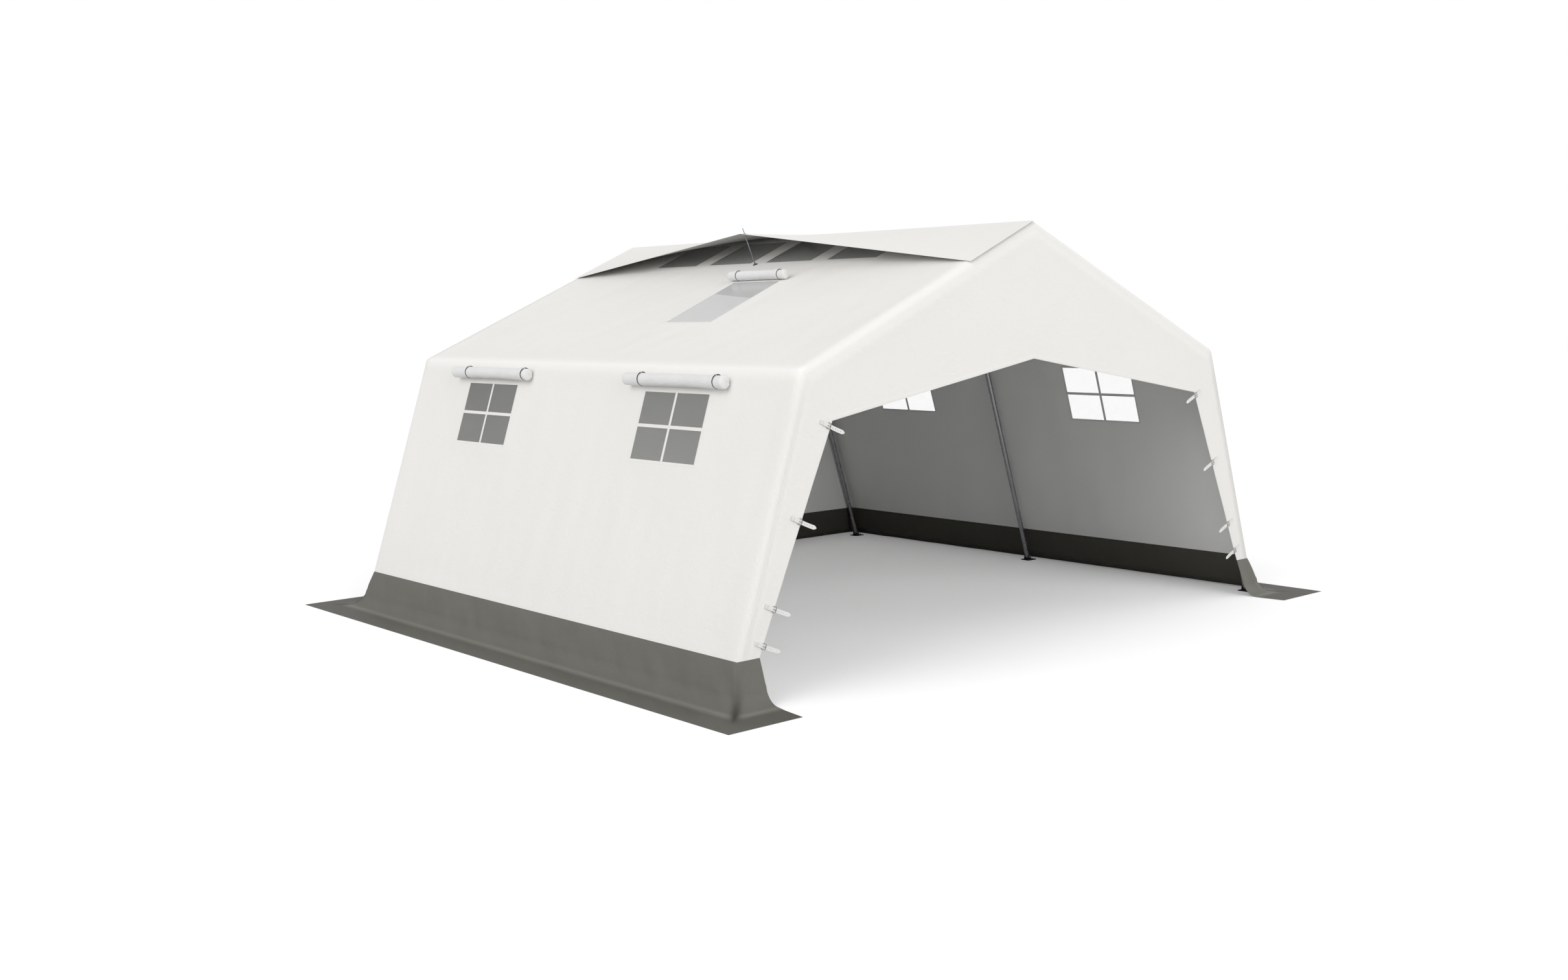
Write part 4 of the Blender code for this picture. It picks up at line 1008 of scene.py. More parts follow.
def flap_rise(distance, y):
    """Height of the flap's cloth over the roof: taut lines from the stay, slack between."""
    share = distance / flap_edge(y)
    out = abs(y) / HALF_LENGTH
    lift = FLAP_REACH * math.sin(ROOF_ANGLE) * (1 - out) * share
    slack = math.sin(math.pi * min(share, 1.0)) * math.sin(math.pi * out)
    crease = noise.noise(Vector((y / FLAP_CREASE_WIDTH, share * 1.3, 4.0)))
    # At the ridge the flap is sewn down on the rounded fold.
    gap = max(EDGE_RADIUS * math.tan(ROOF_ANGLE) - distance, 0.0)
    fall = EDGE_RADIUS - math.sqrt(EDGE_RADIUS * EDGE_RADIUS - gap * gap)
    return max(lift - FLAP_SAG * slack + FLAP_CREASE * slack * crease, 0.0) + FLAP_GAP - fall


def flap_at(distance, y):
    return on_plane(roof_plane(-1), distance, y, flap_rise(distance, y))


def flap_place(distance, y):
    """A place on the flap's upper face, and its normal."""
    step = 0.01
    centre = flap_at(distance, y)
    normal = (flap_at(distance + step, y) - centre).cross(flap_at(distance, y + step) - centre).normalized()
    return centre, -normal if normal.z < 0 else normal


def build_flap():
    columns = grid_steps([-HALF_LENGTH, -STAY_HOLE, STAY_HOLE, HALF_LENGTH], 0.05)
    stay_shares = [(STAY_DISTANCE + k * STAY_HOLE) / flap_edge(0) for k in (-1, 1)]
    shares = grid_steps([0.0, 0.01, 0.02, 0.03, *stay_shares, 1.0], 0.06)

    def at_stay(i, j):
        return abs(columns[j] + columns[j + 1]) < 1e-6 and abs(shares[i] - stay_shares[0]) < 1e-5

    flat = [(y, share * flap_edge(y)) for share in shares for y in columns]
    points = [flap_at(distance, y) for y, distance in flat]
    faces = grid_faces(len(shares), len(columns), across_first=True, skip=at_stay)
    # The flap's underside is painted grey: painted shade
    mesh = cloth_shell("ridge_flap_cloth", points, faces, flat, CANVAS, canvas_outside, flap_underside_painted_shade)
    return add_piece("ridge_flap_cloth", mesh, replaces=["ridge_flap"])


flap = build_flap()
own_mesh(flap)


# Rolled blinds


BLIND_TURNS = 1.9
BLIND_LAYER = 0.003
BLIND_TUCK = 0.016
BLIND_CANVAS = 0.0014
ROWS_PER_TURN = 46
# The gap between a roll and the cloth under it
BLIND_SEAT = 0.0023
# How far the roll hangs through, and how far and wide a strap pinches it
BLIND_SAG = 0.0025
PINCH = 0.0020
PINCH_WIDTH = 0.024
# Heights of the creases' broad swells and sharp ridges, and the most they add up to
CREASE_SWELL = 0.0014
CREASE_RIDGE = 0.0010
CREASE_LIMIT = 0.0018
# Width and thickness of a blind's strap, and of the black cord along the strap's edge, which is a painted shadow line
STRAP_BAND = (0.029, 0.0044)
EDGE_BAND = (0.0046, 0.0036)
EDGE_SHIFT = 0.0168
BAND_STEPS = 56
BAND_SINK = 0.0012
TOGGLE_ANGLE = math.radians(-100)
# An eyelet's inner radius, outer radius and height
TOGGLE_EYELET = (0.0030, 0.0075, 0.0016)


def roll_section(radius, length, marks):
    """A roll's outline from the middle of one end to the middle of the other.

    Each is (place along the roll, radius, outward along, outward from the axis).
    """
    half = length / 2
    core = radius - BLIND_TUCK
    end = []
    for k in range(1, 7):
        t = math.radians(15 * k)
        end.append((half - BLIND_TUCK * (1 - math.sin(t)), core + BLIND_TUCK * math.cos(t), math.sin(t), math.cos(t)))
    for share in (0.8, 0.6, 0.4, 0.2, 0.02):
        end.append((half + 0.004 * (1 - share * share), core * share, 1.0, 0.0))
    body = grid_steps([BLIND_TUCK - half, half - BLIND_TUCK] + marks, 0.014)
    start = [(-along, r, -a, b) for along, r, a, b in reversed(end)]
    return start + [(along, radius, 0.0, 1.0) for along in body] + end


def roll_crease(along, up, out, seed):
    """Height of the handled cloth's creases at a place on a roll."""
    broad = noise.noise(Vector((along * 13 + up * 22, up * 20 - along * 5, out * 20 + seed)))
    sharp = noise.noise(Vector((along * 24 - out * 30, up * 34 + along * 12, out * 34 - seed)))
    ridge = max(1 - 4.5 * abs(sharp), 0.0)
    return CREASE_SWELL * broad - CREASE_RIDGE * ridge * ridge


def build_blind(label, plane, radius, length, straps, seed):
    """A rolled canvas blind: each turn's ends are tucked in over the turn inside it."""
    section = roll_section(radius, length, straps)
    rows = math.ceil(BLIND_TURNS * ROWS_PER_TURN)
    points = []
    flat = []
    for k in range(rows + 1):
        angle = 2 * math.pi * BLIND_TURNS * k / rows
        sunk = BLIND_LAYER * angle / (2 * math.pi)
        up = -math.sin(angle)
        out = -math.cos(angle)
        for along, reach, ahead, away in section:
            strap_gap = min(abs(along - place) for place in straps)
            pinch = PINCH * math.exp(-((strap_gap / PINCH_WIDTH) ** 2)) * away
            crease = roll_crease(along, reach * up, reach * out, seed)
            rise = min(crease, CREASE_LIMIT) - pinch - sunk
            final = max(reach + away * rise, 0.0003)
            sag = BLIND_SAG * (math.cos(2.4 * math.pi * along / length) - 1) / 2
            shift = along + ahead * (0.5 * (rise + sunk) - sunk)
            points.append(on_plane(plane, -(final * up + sag), shift, radius + BLIND_SEAT + final * out))
            flat.append((along + ahead * (radius - reach), radius * angle))
    flip = Y_AXIS.cross(plane[1]).dot(plane[2]) > 0
    faces = grid_faces(rows + 1, len(section), flip, across_first=True)
    name = "rolled_blind_" + label
    mesh = cloth_shell(name, points, faces, flat, BLIND_CANVAS, blind_canvas)
    return add_piece(name, mesh, replaces=["blind_" + label])


def band_mesh(plane, radius, y, size, finish):
    """A flat band round a roll: a closed ring with softened edges."""
    width, thickness = size
    half = width / 2
    bevel = thickness * 0.7
    section = [(-half, 0.0), (-half, bevel), (-half + 0.001, thickness)]
    section += [(half - 0.001, thickness), (half, bevel), (half, 0.0)]
    points = []
    flat = []
    for angle in turn_steps(BAND_STEPS):
        held = 0.3 + 0.7 * min(2 - 2 * math.cos(angle), 1.0)
        for along, lift in section:
            reach = radius - BAND_SINK + lift * held
            out = radius + BLIND_SEAT - reach * math.cos(angle)
            points.append(on_plane(plane, reach * math.sin(angle), y + along, out))
            flat.append((radius * angle, along))
    count = len(section)
    faces = []
    for i in range(BAND_STEPS):
        for k in range(count):
            a = i * count
            b = (i + 1) % BAND_STEPS * count
            k1 = (k + 1) % count
            faces.append((a + k, a + k1, b + k1, b + k))
    if Y_AXIS.cross(plane[1]).dot(plane[2]) > 0:
        faces = [face[::-1] for face in faces]
    mesh = plain_mesh("band", points, faces, [finish])
    lay_cloth_map(mesh, flat)
    smooth_by_angle(mesh, 40)
    return mesh


def smooth_by_angle(mesh, degrees):
    """Smooth shading with a sharp edge wherever two faces meet at more than an angle."""
    bm = bmesh.new()
    bm.from_mesh(mesh)
    bmesh.ops.recalc_face_normals(bm, faces=bm.faces)
    for face in bm.faces:
        face.smooth = True
    limit = math.radians(degrees)
    for edge in bm.edges:
        edge.smooth = len(edge.link_faces) == 2 and edge.calc_face_angle(0.0) < limit
    bm.to_mesh(mesh)
    bm.free()


def merged(name, meshes):
    """One mesh from several, with their materials and UV maps kept."""
    bm = bmesh.new()
    finishes = []
    for mesh in meshes:
        picks = []
        for item in mesh.materials:
            if item not in finishes:
                finishes.append(item)
            picks.append(finishes.index(item))
        start = len(bm.faces)
        bm.from_mesh(mesh)
        bm.faces.ensure_lookup_table()
        for face in bm.faces[start:]:
            face.material_index = picks[face.material_index]
    made = bpy.data.meshes.new(name)
    bm.to_mesh(made)
    bm.free()
    for item in finishes:
        made.materials.append(item)
    for mesh in meshes:
        bpy.data.meshes.remove(mesh)
    return made


def turn_steps(steps):
    return [2 * math.pi * i / steps for i in range(steps)]


def circle(x, y, radius, steps=16):
    return [(x + radius * math.cos(t), y + radius * math.sin(t)) for t in turn_steps(steps)]


def half_circle(radius, steps, first=0):
    turns = [math.pi * k / steps for k in range(first, steps + 1)]
    return [(radius * math.cos(t), radius * math.sin(t)) for t in turns]


def lathe(start, direction, profile, finish, sides=32, angle=40):
    """A closed round part from (distance along, radius) points; radius 0 closes an end."""
    direction = Vector(direction).normalized()
    first = Y_AXIS - direction * direction.y
    if first.length < 0.1:
        first = Vector((1, 0, 0))
    first.normalize()
    second = direction.cross(first)
    bm = bmesh.new()
    rings = []
    for along, radius in profile:
        centre = Vector(start) + direction * along
        spots = [centre + first * radius * math.cos(t) + second * radius * math.sin(t) for t in turn_steps(sides)]
        rings.append([bm.verts.new(spot) for spot in (spots if radius > 0 else [centre])])
    closed = profile[0] == profile[-1] and len(rings[0]) > 1
    if closed:
        rings[-1] = rings[0]
    for a, b in zip(rings, rings[1:]):
        for i in range(sides):
            j = (i + 1) % sides
            if len(a) == 1:
                bm.faces.new((a[0], b[i], b[j]))
            elif len(b) == 1:
                bm.faces.new((a[i], b[0], a[j]))
            else:
                bm.faces.new((a[i], b[i], b[j], a[j]))
    if not closed:
        for ring in (rings[0], rings[-1]):
            if len(ring) > 1:
                bm.faces.new(ring)
    loose = [v for v in bm.verts if not v.link_faces]
    bmesh.ops.delete(bm, geom=loose, context="VERTS")
    mesh = plain_mesh("turned", [], [], [finish])
    bm.to_mesh(mesh)
    bm.free()
    smooth_by_angle(mesh, angle)
    return mesh


def ring_profile(radius, wire, steps=10):
    """A closed round section, for a ring made by a lathe."""
    loop = [(wire * math.sin(t), radius + wire * math.cos(t)) for t in turn_steps(steps)]
    return loop + [loop[0]]


def build_eyelet(centre, normal, inner, outer, rise, finish):
    upper = [(rise * 0.5, outer), (rise, outer - 0.0015), (rise, inner + 0.0012), (rise * 0.5, inner)]
    lower = [(-along, radius) for along, radius in reversed(upper)]
    return lathe(centre, normal, lower[1:] + upper + lower[:2], finish)


blinds = []
for name, side in SIDES.items():
    down, normal = wall_plane(side)[1:]
    for end, way in ENDS.items():
        surface = Vector((side * wall_x(BLIND_HEIGHT), way * WINDOW_OFFSET, BLIND_HEIGHT))
        straps = [k * BLIND_STRAP_SPAN / 2 - BLIND_STRAP_SHIFT[end] for k in (-1, 1)]
        size = (BLIND_RADIUS, BLIND_LENGTH)
        blinds.append((f"{name}_{end}", f"side_wall_{name}_cloth", (surface, down, normal), *size, straps))
surface = RIDGE + roof_down(-1) * SKYLIGHT_BLIND_DISTANCE + Y_AXIS * SKYLIGHT_BLIND_CENTRE
straps = [k * SKYLIGHT_STRAP_SPAN / 2 for k in (-1, 1)]
size = (SKYLIGHT_BLIND_RADIUS, SKYLIGHT_BLIND_LENGTH)
blinds.append(("skylight", "roof_left_cloth", (surface, *roof_plane(-1)[1:]), *size, straps))
for k, (label, wall_piece, plane, radius, length, straps) in enumerate(blinds):
    piece = build_blind(label, plane, radius, length, straps, 3.0 + 2.7 * k)
    surface, down, normal = plane
    away = down * math.sin(TOGGLE_ANGLE) - normal * math.cos(TOGGLE_ANGLE)
    parts = []
    for y in straps:
        edge = y - EDGE_SHIFT
        parts.append(band_mesh(plane, radius, y, STRAP_BAND, webbing))
        # A black cord at the strap's edge: painted shadow
        parts.append(band_mesh(plane, radius, edge, EDGE_BAND, black_braid_and_painted_shadow))
        axis = surface + normal * (radius + BLIND_SEAT)
        toggle = axis + away * (radius + BAND_SINK) + Y_AXIS * (edge - 0.004)
        parts.append(build_eyelet(toggle, away, *TOGGLE_EYELET, black_braid_and_painted_shadow))
    ties = add_piece("blind_ties_" + label, merged("blind_ties_" + label, parts))


# Geometry Nodes trees


def tree_with(name, sockets):
    """A new tree with a geometry input and output and the named number inputs."""
    tree = bpy.data.node_groups.new(name, "GeometryNodeTree")
    tree.interface.new_socket("Geometry", in_out="INPUT", socket_type="NodeSocketGeometry")
    for label, kind in sockets:
        tree.interface.new_socket(label, in_out="INPUT", socket_type="NodeSocket" + kind)
    tree.interface.new_socket("Geometry", in_out="OUTPUT", socket_type="NodeSocketGeometry")
    return tree, tree.nodes.new("NodeGroupInput")


def finish_tree(tree, source, geometry):
    real = add(tree, "GeometryNodeRealizeInstances", {0: geometry})
    painted = add(tree, "GeometryNodeSetMaterial", {0: real, "Material": source.outputs["Finish"]})
    add(tree, "NodeGroupOutput", {0: painted})


def grown(name, tree, points, edges, ups=None, **values):
    """The plain mesh that a tree makes from a net of points and edges."""
    mesh = bpy.data.meshes.new(name + "_guide")
    mesh.from_pydata([tuple(p) for p in points], edges, [])
    if ups:
        layer = mesh.attributes.new("up", "FLOAT_VECTOR", "POINT")
        layer.data.foreach_set("vector", np.asarray(ups, np.float32).ravel())
    guide = linked(name + "_guide", mesh)
    modifier = guide.modifiers.new("grow", "NODES")
    modifier.node_group = tree
    identifiers = {i.name: i.identifier for i in tree.interface.items_tree if i.in_out == "INPUT"}
    for label, value in values.items():
        modifier[identifiers[label]] = value
    bpy.context.view_layer.update()
    seen = guide.evaluated_get(bpy.context.evaluated_depsgraph_get())
    made = bpy.data.meshes.new_from_object(seen)
    made.name = name
    bpy.data.objects.remove(guide)
    bpy.data.meshes.remove(mesh)
    return made


def build_stitch_tree():
    """Stitches of thread laid end to end along guide lines; "up" is the cloth's normal."""
    sockets = [("Pitch", "Float"), ("Length", "Float"), ("Width", "Float"), ("Finish", "Material")]
    tree, source = tree_with("stitch_rows", sockets)
    given = source.outputs
    lines = add(tree, "GeometryNodeMeshToCurve", {0: given["Geometry"]})
    spaced = add(tree, "GeometryNodeResampleCurve", {"Curve": lines, "Length": given["Pitch"]}, mode="LENGTH")
    upward = add(tree, "GeometryNodeInputNamedAttribute", {"Name": "up"}, data_type="FLOAT_VECTOR")
    axes = {0: upward, 1: add(tree, "GeometryNodeInputTangent")}
    turn = add(tree, "FunctionNodeAxesToRotation", axes, primary_axis="Z", secondary_axis="X")
    bead = add(tree, "GeometryNodeMeshUVSphere", {"Segments": 6, "Rings": 3, "Radius": 0.5})
    high = maths(tree, "MULTIPLY", given["Width"], 0.7)
    size = add(tree, "ShaderNodeCombineXYZ", {0: given["Length"], 1: given["Width"], 2: high})
    laid = {"Points": spaced, "Instance": bead, "Rotation": turn, "Scale": size}
    finish_tree(tree, source, add(tree, "GeometryNodeInstanceOnPoints", laid))
    return tree


def build_tube_tree():
    """Round tube along guide edges, closed at both ends."""
    tree, source = tree_with("round_tube", [("Radius", "Float"), ("Sides", "Int"), ("Finish", "Material")])
    given = source.outputs
    lines = add(tree, "GeometryNodeMeshToCurve", {0: given["Geometry"]})
    ring = add(tree, "GeometryNodeCurvePrimitiveCircle", {"Resolution": given["Sides"], "Radius": given["Radius"]})
    swept = {"Curve": lines, "Profile Curve": ring, "Fill Caps": True}
    finish_tree(tree, source, add(tree, "GeometryNodeCurveToMesh", swept))
    return tree


def build_bolt_tree():
    """Hexagon bolt heads on washers at points; "up" is the way each head faces."""
    tree, source = tree_with("hexagon_bolts", [("Size", "Float"), ("Finish", "Material")])
    upward = add(tree, "GeometryNodeInputNamedAttribute", {"Name": "up"}, data_type="FLOAT_VECTOR")
    turn = add(tree, "FunctionNodeAlignRotationToVector", {"Vector": upward}, axis="Z")
    both = add(tree, "GeometryNodeJoinGeometry")
    # Head, then washer: sides, radius, depth and height of the middle, as shares of the size
    for sides, radius, depth, height in ((6, 0.58, 0.55, 0.42), (20, 0.85, 0.16, 0.07)):
        disc = add(tree, "GeometryNodeMeshCylinder", {"Vertices": sides, "Radius": radius, "Depth": depth})
        raised = add(tree, "GeometryNodeTransform", {0: disc, "Translation": (0, 0, height)})
        tree.links.new(raised.outputs[0], both.inputs[0])
    laid = {"Points": source.outputs["Geometry"], "Instance": both, "Rotation": turn, "Scale": source.outputs["Size"]}
    finish_tree(tree, source, add(tree, "GeometryNodeInstanceOnPoints", laid))
    return tree


stitch_tree = build_stitch_tree()
tube_tree = build_tube_tree()
bolt_tree = build_bolt_tree()
# Rows of stitches. A real stitch is about 3 mm long, as the door straps' are; the cover's and
# the flap's are drawn three to four times longer, so that they show at all.
BOX_STITCH = {"Pitch": 0.0035, "Length": 0.003, "Width": 0.0009, "Finish": thread}
COVER_STITCH = {"Pitch": 0.014, "Length": 0.010, "Width": 0.0011, "Finish": thread}
FLAP_STITCH = {"Pitch": 0.016, "Length": 0.011, "Width": 0.0015, "Finish": thread}


# Door straps: webbing with a buckle, each on its own body

STRAP_HEIGHTS = {"left": (1.656, 1.080, 0.563, 0.347), "right": (1.661, 1.114, 0.597, 0.370)}
BUCKLE_SETBACKS = {"left": (0.022, 0.014, 0.005, -0.004), "right": (0.003, 0.003, 0.003, 0.003)}
STRAP_WIDTH = 0.027
STRAP_BASE = 0.075
STRAP_TAIL = 0.140
STRAP_POINT = 0.022
STRAP_HOLES = 4
HOLE_PITCH = 0.022
HOLE_RADIUS = 0.0028
BUCKLE_LENGTH = 0.032
BUCKLE_WIDTH = 0.041
BUCKLE_WIRE = 0.0019
BUCKLE_LIFT = 0.0045
TONGUE_WIRE = 0.0014
TAIL_LIFT = 0.0017
TAIL_THICKNESS = 0.0015
LOOP_THICKNESS = 0.0012


def strap_place(side, height, setback):
    inward = Vector((-side * math.cos(DOOR_LEAN), 0, -math.sin(DOOR_LEAN)))
    outward = Vector((0, -1, 0))
    buckle = Vector((side * (door_x(height) + setback), -HALF_LENGTH - 0.0003, height))
    turn = Matrix((inward, outward.cross(inward), outward)).transposed().to_4x4()
    return Matrix.Translation(buckle - inward * STRAP_BASE) @ turn


def cut_out(outline, holes, extra=()):
    """Flat triangles inside an outline and outside its holes, turning the same way."""
    loops = [outline, *holes]
    everything = [Vector(p) for loop in loops for p in loop] + [Vector(p) for p in extra]
    edges = []
    start = 0
    for loop in loops:
        edges += [(start + i, start + (i + 1) % len(loop)) for i in range(len(loop))]
        start += len(loop)
    found, _, faces, _, _, _ = delaunay_2d_cdt(everything, edges, [], 1, 1e-6)

    def inside(point, loop):
        odd = False
        for (x0, y0), (x1, y1) in zip(loop, loop[1:] + loop[:1]):
            if (y0 > point.y) != (y1 > point.y) and point.x < (x1 - x0) * (point.y - y0) / (y1 - y0) + x0:
                odd = not odd
        return odd

    kept = []
    for a, b, c in faces:
        middle = (found[a] + found[b] + found[c]) / 3
        if inside(middle, outline) and not any(inside(middle, hole) for hole in holes):
            kept.append((a, b, c))
    return found, turned(found, kept)


def strap_bend(x, y, side):
    """The tail's own set: it lifts a little off the cloth and turns at its tip."""
    t = max(x - STRAP_BASE, 0.0) / STRAP_TAIL
    lift = 0.0042 * t * t + 0.0008 * math.sin(9 * t)
    return Vector((x, y - side * 0.004 * t * t, lift))


def build_strap_parts(side):
    """The strap's tail, the loop round the buckle's bar, and the cloth that the loop takes."""
    half = STRAP_WIDTH / 2
    length = STRAP_BASE + STRAP_TAIL
    steps = grid_steps([0.0, length - STRAP_POINT], 0.006)
    tip = [(length - STRAP_POINT * 0.45, -half * 0.72), (length - 0.004, -half * 0.36), (length, -half * 0.16)]
    edge = [(x, -half) for x in steps] + tip
    first = STRAP_BASE + BUCKLE_LENGTH / 2 + HOLE_PITCH
    holes = [circle(first + k * HOLE_PITCH, 0, HOLE_RADIUS, 12) for k in range(STRAP_HOLES)]
    extra = [(x, y) for x in steps[1:] for y in (-half * 0.45, half * 0.45)]
    found, faces = cut_out(edge + [(x, -y) for x, y in reversed(edge)], holes, extra)
    points = [tuple(strap_bend(v.x, v.y, side) + Vector((0, 0, TAIL_LIFT))) for v in found]
    tail = cloth_shell("strap_tail", points, faces, [tuple(v) for v in found], TAIL_THICKNESS, webbing)

    # The short strap folds round the buckle's bar and is sewn down on itself.
    bar = STRAP_BASE - BUCKLE_LENGTH / 2 + 0.002
    run = [(0.003 + (bar - 0.012) * k / 8, 0.0031) for k in range(9)]
    for k in range(1, 12):
        angle = -math.pi / 2 + math.pi * k / 12
        run.append((bar - 0.0015 + 0.0036 * math.cos(angle), BUCKLE_LIFT + 0.0029 * math.sin(angle)))
    run += [(bar - 0.004 - 0.006 * k, 0.0072 - 0.0026 * smooth_one(k / 2)) for k in range(1, 7)]
    across = (-half, -half * 0.4, half * 0.4, half)
    points = []
    flat = []
    travelled = 0.0
    for k, (x, z) in enumerate(run):
        if k:
            travelled += math.hypot(x - run[k - 1][0], z - run[k - 1][1])
        points += [(x, y, z) for y in across]
        flat += [(travelled, y) for y in across]
    faces = grid_faces(len(run), len(across))
    loop = cloth_shell("strap_loop", points, faces, flat, LOOP_THICKNESS, webbing)
    return tail, loop, travelled


def rounded_loop(half_x, half_y, radius, steps=6):
    """Points round a rectangle with rounded corners."""
    loop = []
    for cx, cy, start in ((1, 1, 0), (-1, 1, 90), (-1, -1, 180), (1, -1, 270)):
        x = cx * (half_x - radius)
        y = cy * (half_y - radius)
        for k in range(steps + 1):
            angle = math.radians(start + 90 * k / steps)
            loop.append((x + radius * math.cos(angle), y + radius * math.sin(angle)))
    return loop


def build_buckle():
    """Rounded wire frame with a tongue that lies over it from bar to end."""
    centre = STRAP_BASE
    loop = rounded_loop(BUCKLE_LENGTH / 2 - BUCKLE_WIRE, BUCKLE_WIDTH / 2 - BUCKLE_WIRE, 0.006)
    points = [(centre + x, y, BUCKLE_LIFT) for x, y in loop]
    edges = [(i, (i + 1) % len(points)) for i in range(len(points))]
    look = {"Sides": 10, "Finish": buckle_metal}
    wires = [grown("buckle_frame", tube_tree, points, edges, Radius=BUCKLE_WIRE, **look)]
    bar = centre - BUCKLE_LENGTH / 2 + BUCKLE_WIRE
    end = centre + BUCKLE_LENGTH / 2 + 0.0006
    path = [(bar - 0.0034, BUCKLE_LIFT), (bar - 0.0022, 0.0072), (bar + 0.001, 0.0083), (bar + 0.006, 0.0079)]
    path += [(bar + 0.014, 0.0073), (end - 0.008, 0.0072), (end, 0.0071)]
    edges = [(i, i + 1) for i in range(len(path) - 1)]
    wires.append(grown("tongue", tube_tree, [(x, 0, z) for x, z in path], edges, Radius=TONGUE_WIRE, **look))
    made = merged("door_buckle", wires)
    smooth_by_angle(made, 50)
    return made


def box_stitches(name, low_x, high_x, half, height):
    """A sewn box with its cross."""
    a, b, c, d = ((x, y, height) for x, y in ((low_x, -half), (high_x, -half), (high_x, half), (low_x, half)))
    lines = ((a, b), (b, c), (c, d), (d, a), (a, c), (b, d))
    return merged(name, [grown("box", stitch_tree, line, [(0, 1)], [(0, 0, 1)] * 2, **BOX_STITCH) for line in lines])


def build_door_strap(label, side, place):
    body = "door_strap_" + label
    tail, loop, run = build_strap_parts(side)
    cloth = merged("door_webbing_" + label, [tail, loop])
    stitches = box_stitches("door_strap_stitches_" + label, 0.006, 0.026, 0.010, 0.0048)
    buckle = build_buckle()
    for mesh in (cloth, stitches, buckle):
        mesh.transform(place)
    piece = add_piece("door_webbing_" + label, cloth, body, [body])
    add_piece("door_strap_stitches_" + label, stitches, body)
    add_piece("door_buckle_" + label, buckle, body)


for name, side in SIDES.items():
    rows = zip(STRAP_HEIGHTS[name], BUCKLE_SETBACKS[name])
    for number, (height, setback) in enumerate(rows, start=1):
        build_door_strap(f"{name}_{number}", side, strap_place(side, height, setback))


# Seams, hems and their stitches, laid on the cover's own surface

skin_tree = BVHTree.FromPolygons([tuple(p) for p in skin_points], skin_faces)


def settled(point, lift=0.0):
    """The nearest place on the cover's outer face, and its normal."""
    place, normal, _, _ = skin_tree.find_nearest(Vector(point))
    return place + normal * lift, normal


def spread(path, step):
    """Points along straight runs between a path's corners."""
    made = []
    for a, b in zip(path, path[1:]):
        a = Vector(a)
        b = Vector(b)
        count = max(1, round((b - a).length / step))
        made += [a + (b - a) * i / count for i in range(count)]
    return made + [Vector(path[-1])]


HEM_WIDTH = 0.028
HEM_RISE = 0.0007
TAPE_WIDTH = 0.018
TAPE_RISE = 0.0003
# A tape's section as (share of its width, share of its rise)
TAPE_SECTION = ((-0.5, 0.15), (-0.44, 1.0), (0.0, 1.0), (0.44, 1.0), (0.5, 0.15))
# Rows of stitches round an opening, outwards from its edge, and either side of its bars
TAPE_ROWS = (0.007, TAPE_WIDTH + 0.001)
BAR_ROWS = (-0.007, 0.007)
STITCH_LIFT = 0.0011


def build_tapes(name, paths, width, height):
    """Strips of folded cloth sewn on along paths, each mitred at its corners."""
    points = []
    flat = []
    faces = []
    wide = len(TAPE_SECTION)
    for path in paths:
        loop = path[0] == path[-1]
        along = spread(path, 0.045)
        if loop:
            along = along[:-1]
        count = len(along)
        travelled = 0.0
        start = len(points)
        for i, point in enumerate(along):
            before = along[i - 1] if i or loop else point
            after = along[(i + 1) % count] if i < count - 1 or loop else point
            _, normal = settled(point)
            into = (point - before).normalized() if (point - before).length > 1e-9 else None
            out = (after - point).normalized() if (after - point).length > 1e-9 else None
            into = into or out
            out = out or into
            side = normal.cross((into + out).normalized()).normalized()
            mitre = 1 / max(side.dot(normal.cross(out).normalized()), 0.4)
            if i:
                travelled += (point - along[i - 1]).length
            for share, rise in TAPE_SECTION:
                place, _ = settled(point + side * (share * width * mitre), height * rise)
                points.append(tuple(place))
                flat.append((travelled, share * width))
        for i in range(count if loop else count - 1):
            a = start + i * wide
            b = start + (i + 1) % count * wide
            faces += [(a + j, b + j, b + j + 1, a + j + 1) for j in range(wide - 1)]
    normals = vertex_normals(points, faces)
    outward = np.array([tuple(settled(p)[1]) for p in points])
    if np.mean((normals * outward).sum(1)) < 0:
        faces = [face[::-1] for face in faces]
        normals = -normals
    mesh = cloth_shell(name, points, faces, flat, height + 0.0004, canvas_seam, normals=normals)
    return add_piece(name, mesh)


def stitch_guides(paths):
    points = []
    edges = []
    ups = []
    for path in paths:
        for i, point in enumerate(spread(path, 0.06)):
            place, normal = settled(point, STITCH_LIFT)
            if i:
                edges.append((len(points) - 1, len(points)))
            points.append(place)
            ups.append(tuple(normal))
    return points, edges, ups


def box_path(plane, box, out):
    """A box's outline on a plane, moved outwards and closed."""
    a, b, c, d = box
    a, b, c, d = a - out, b + out, c - out, d + out
    return [tuple(on_plane(plane, s, y)) for y, s in ((a, c), (b, c), (b, d), (a, d), (a, c))]


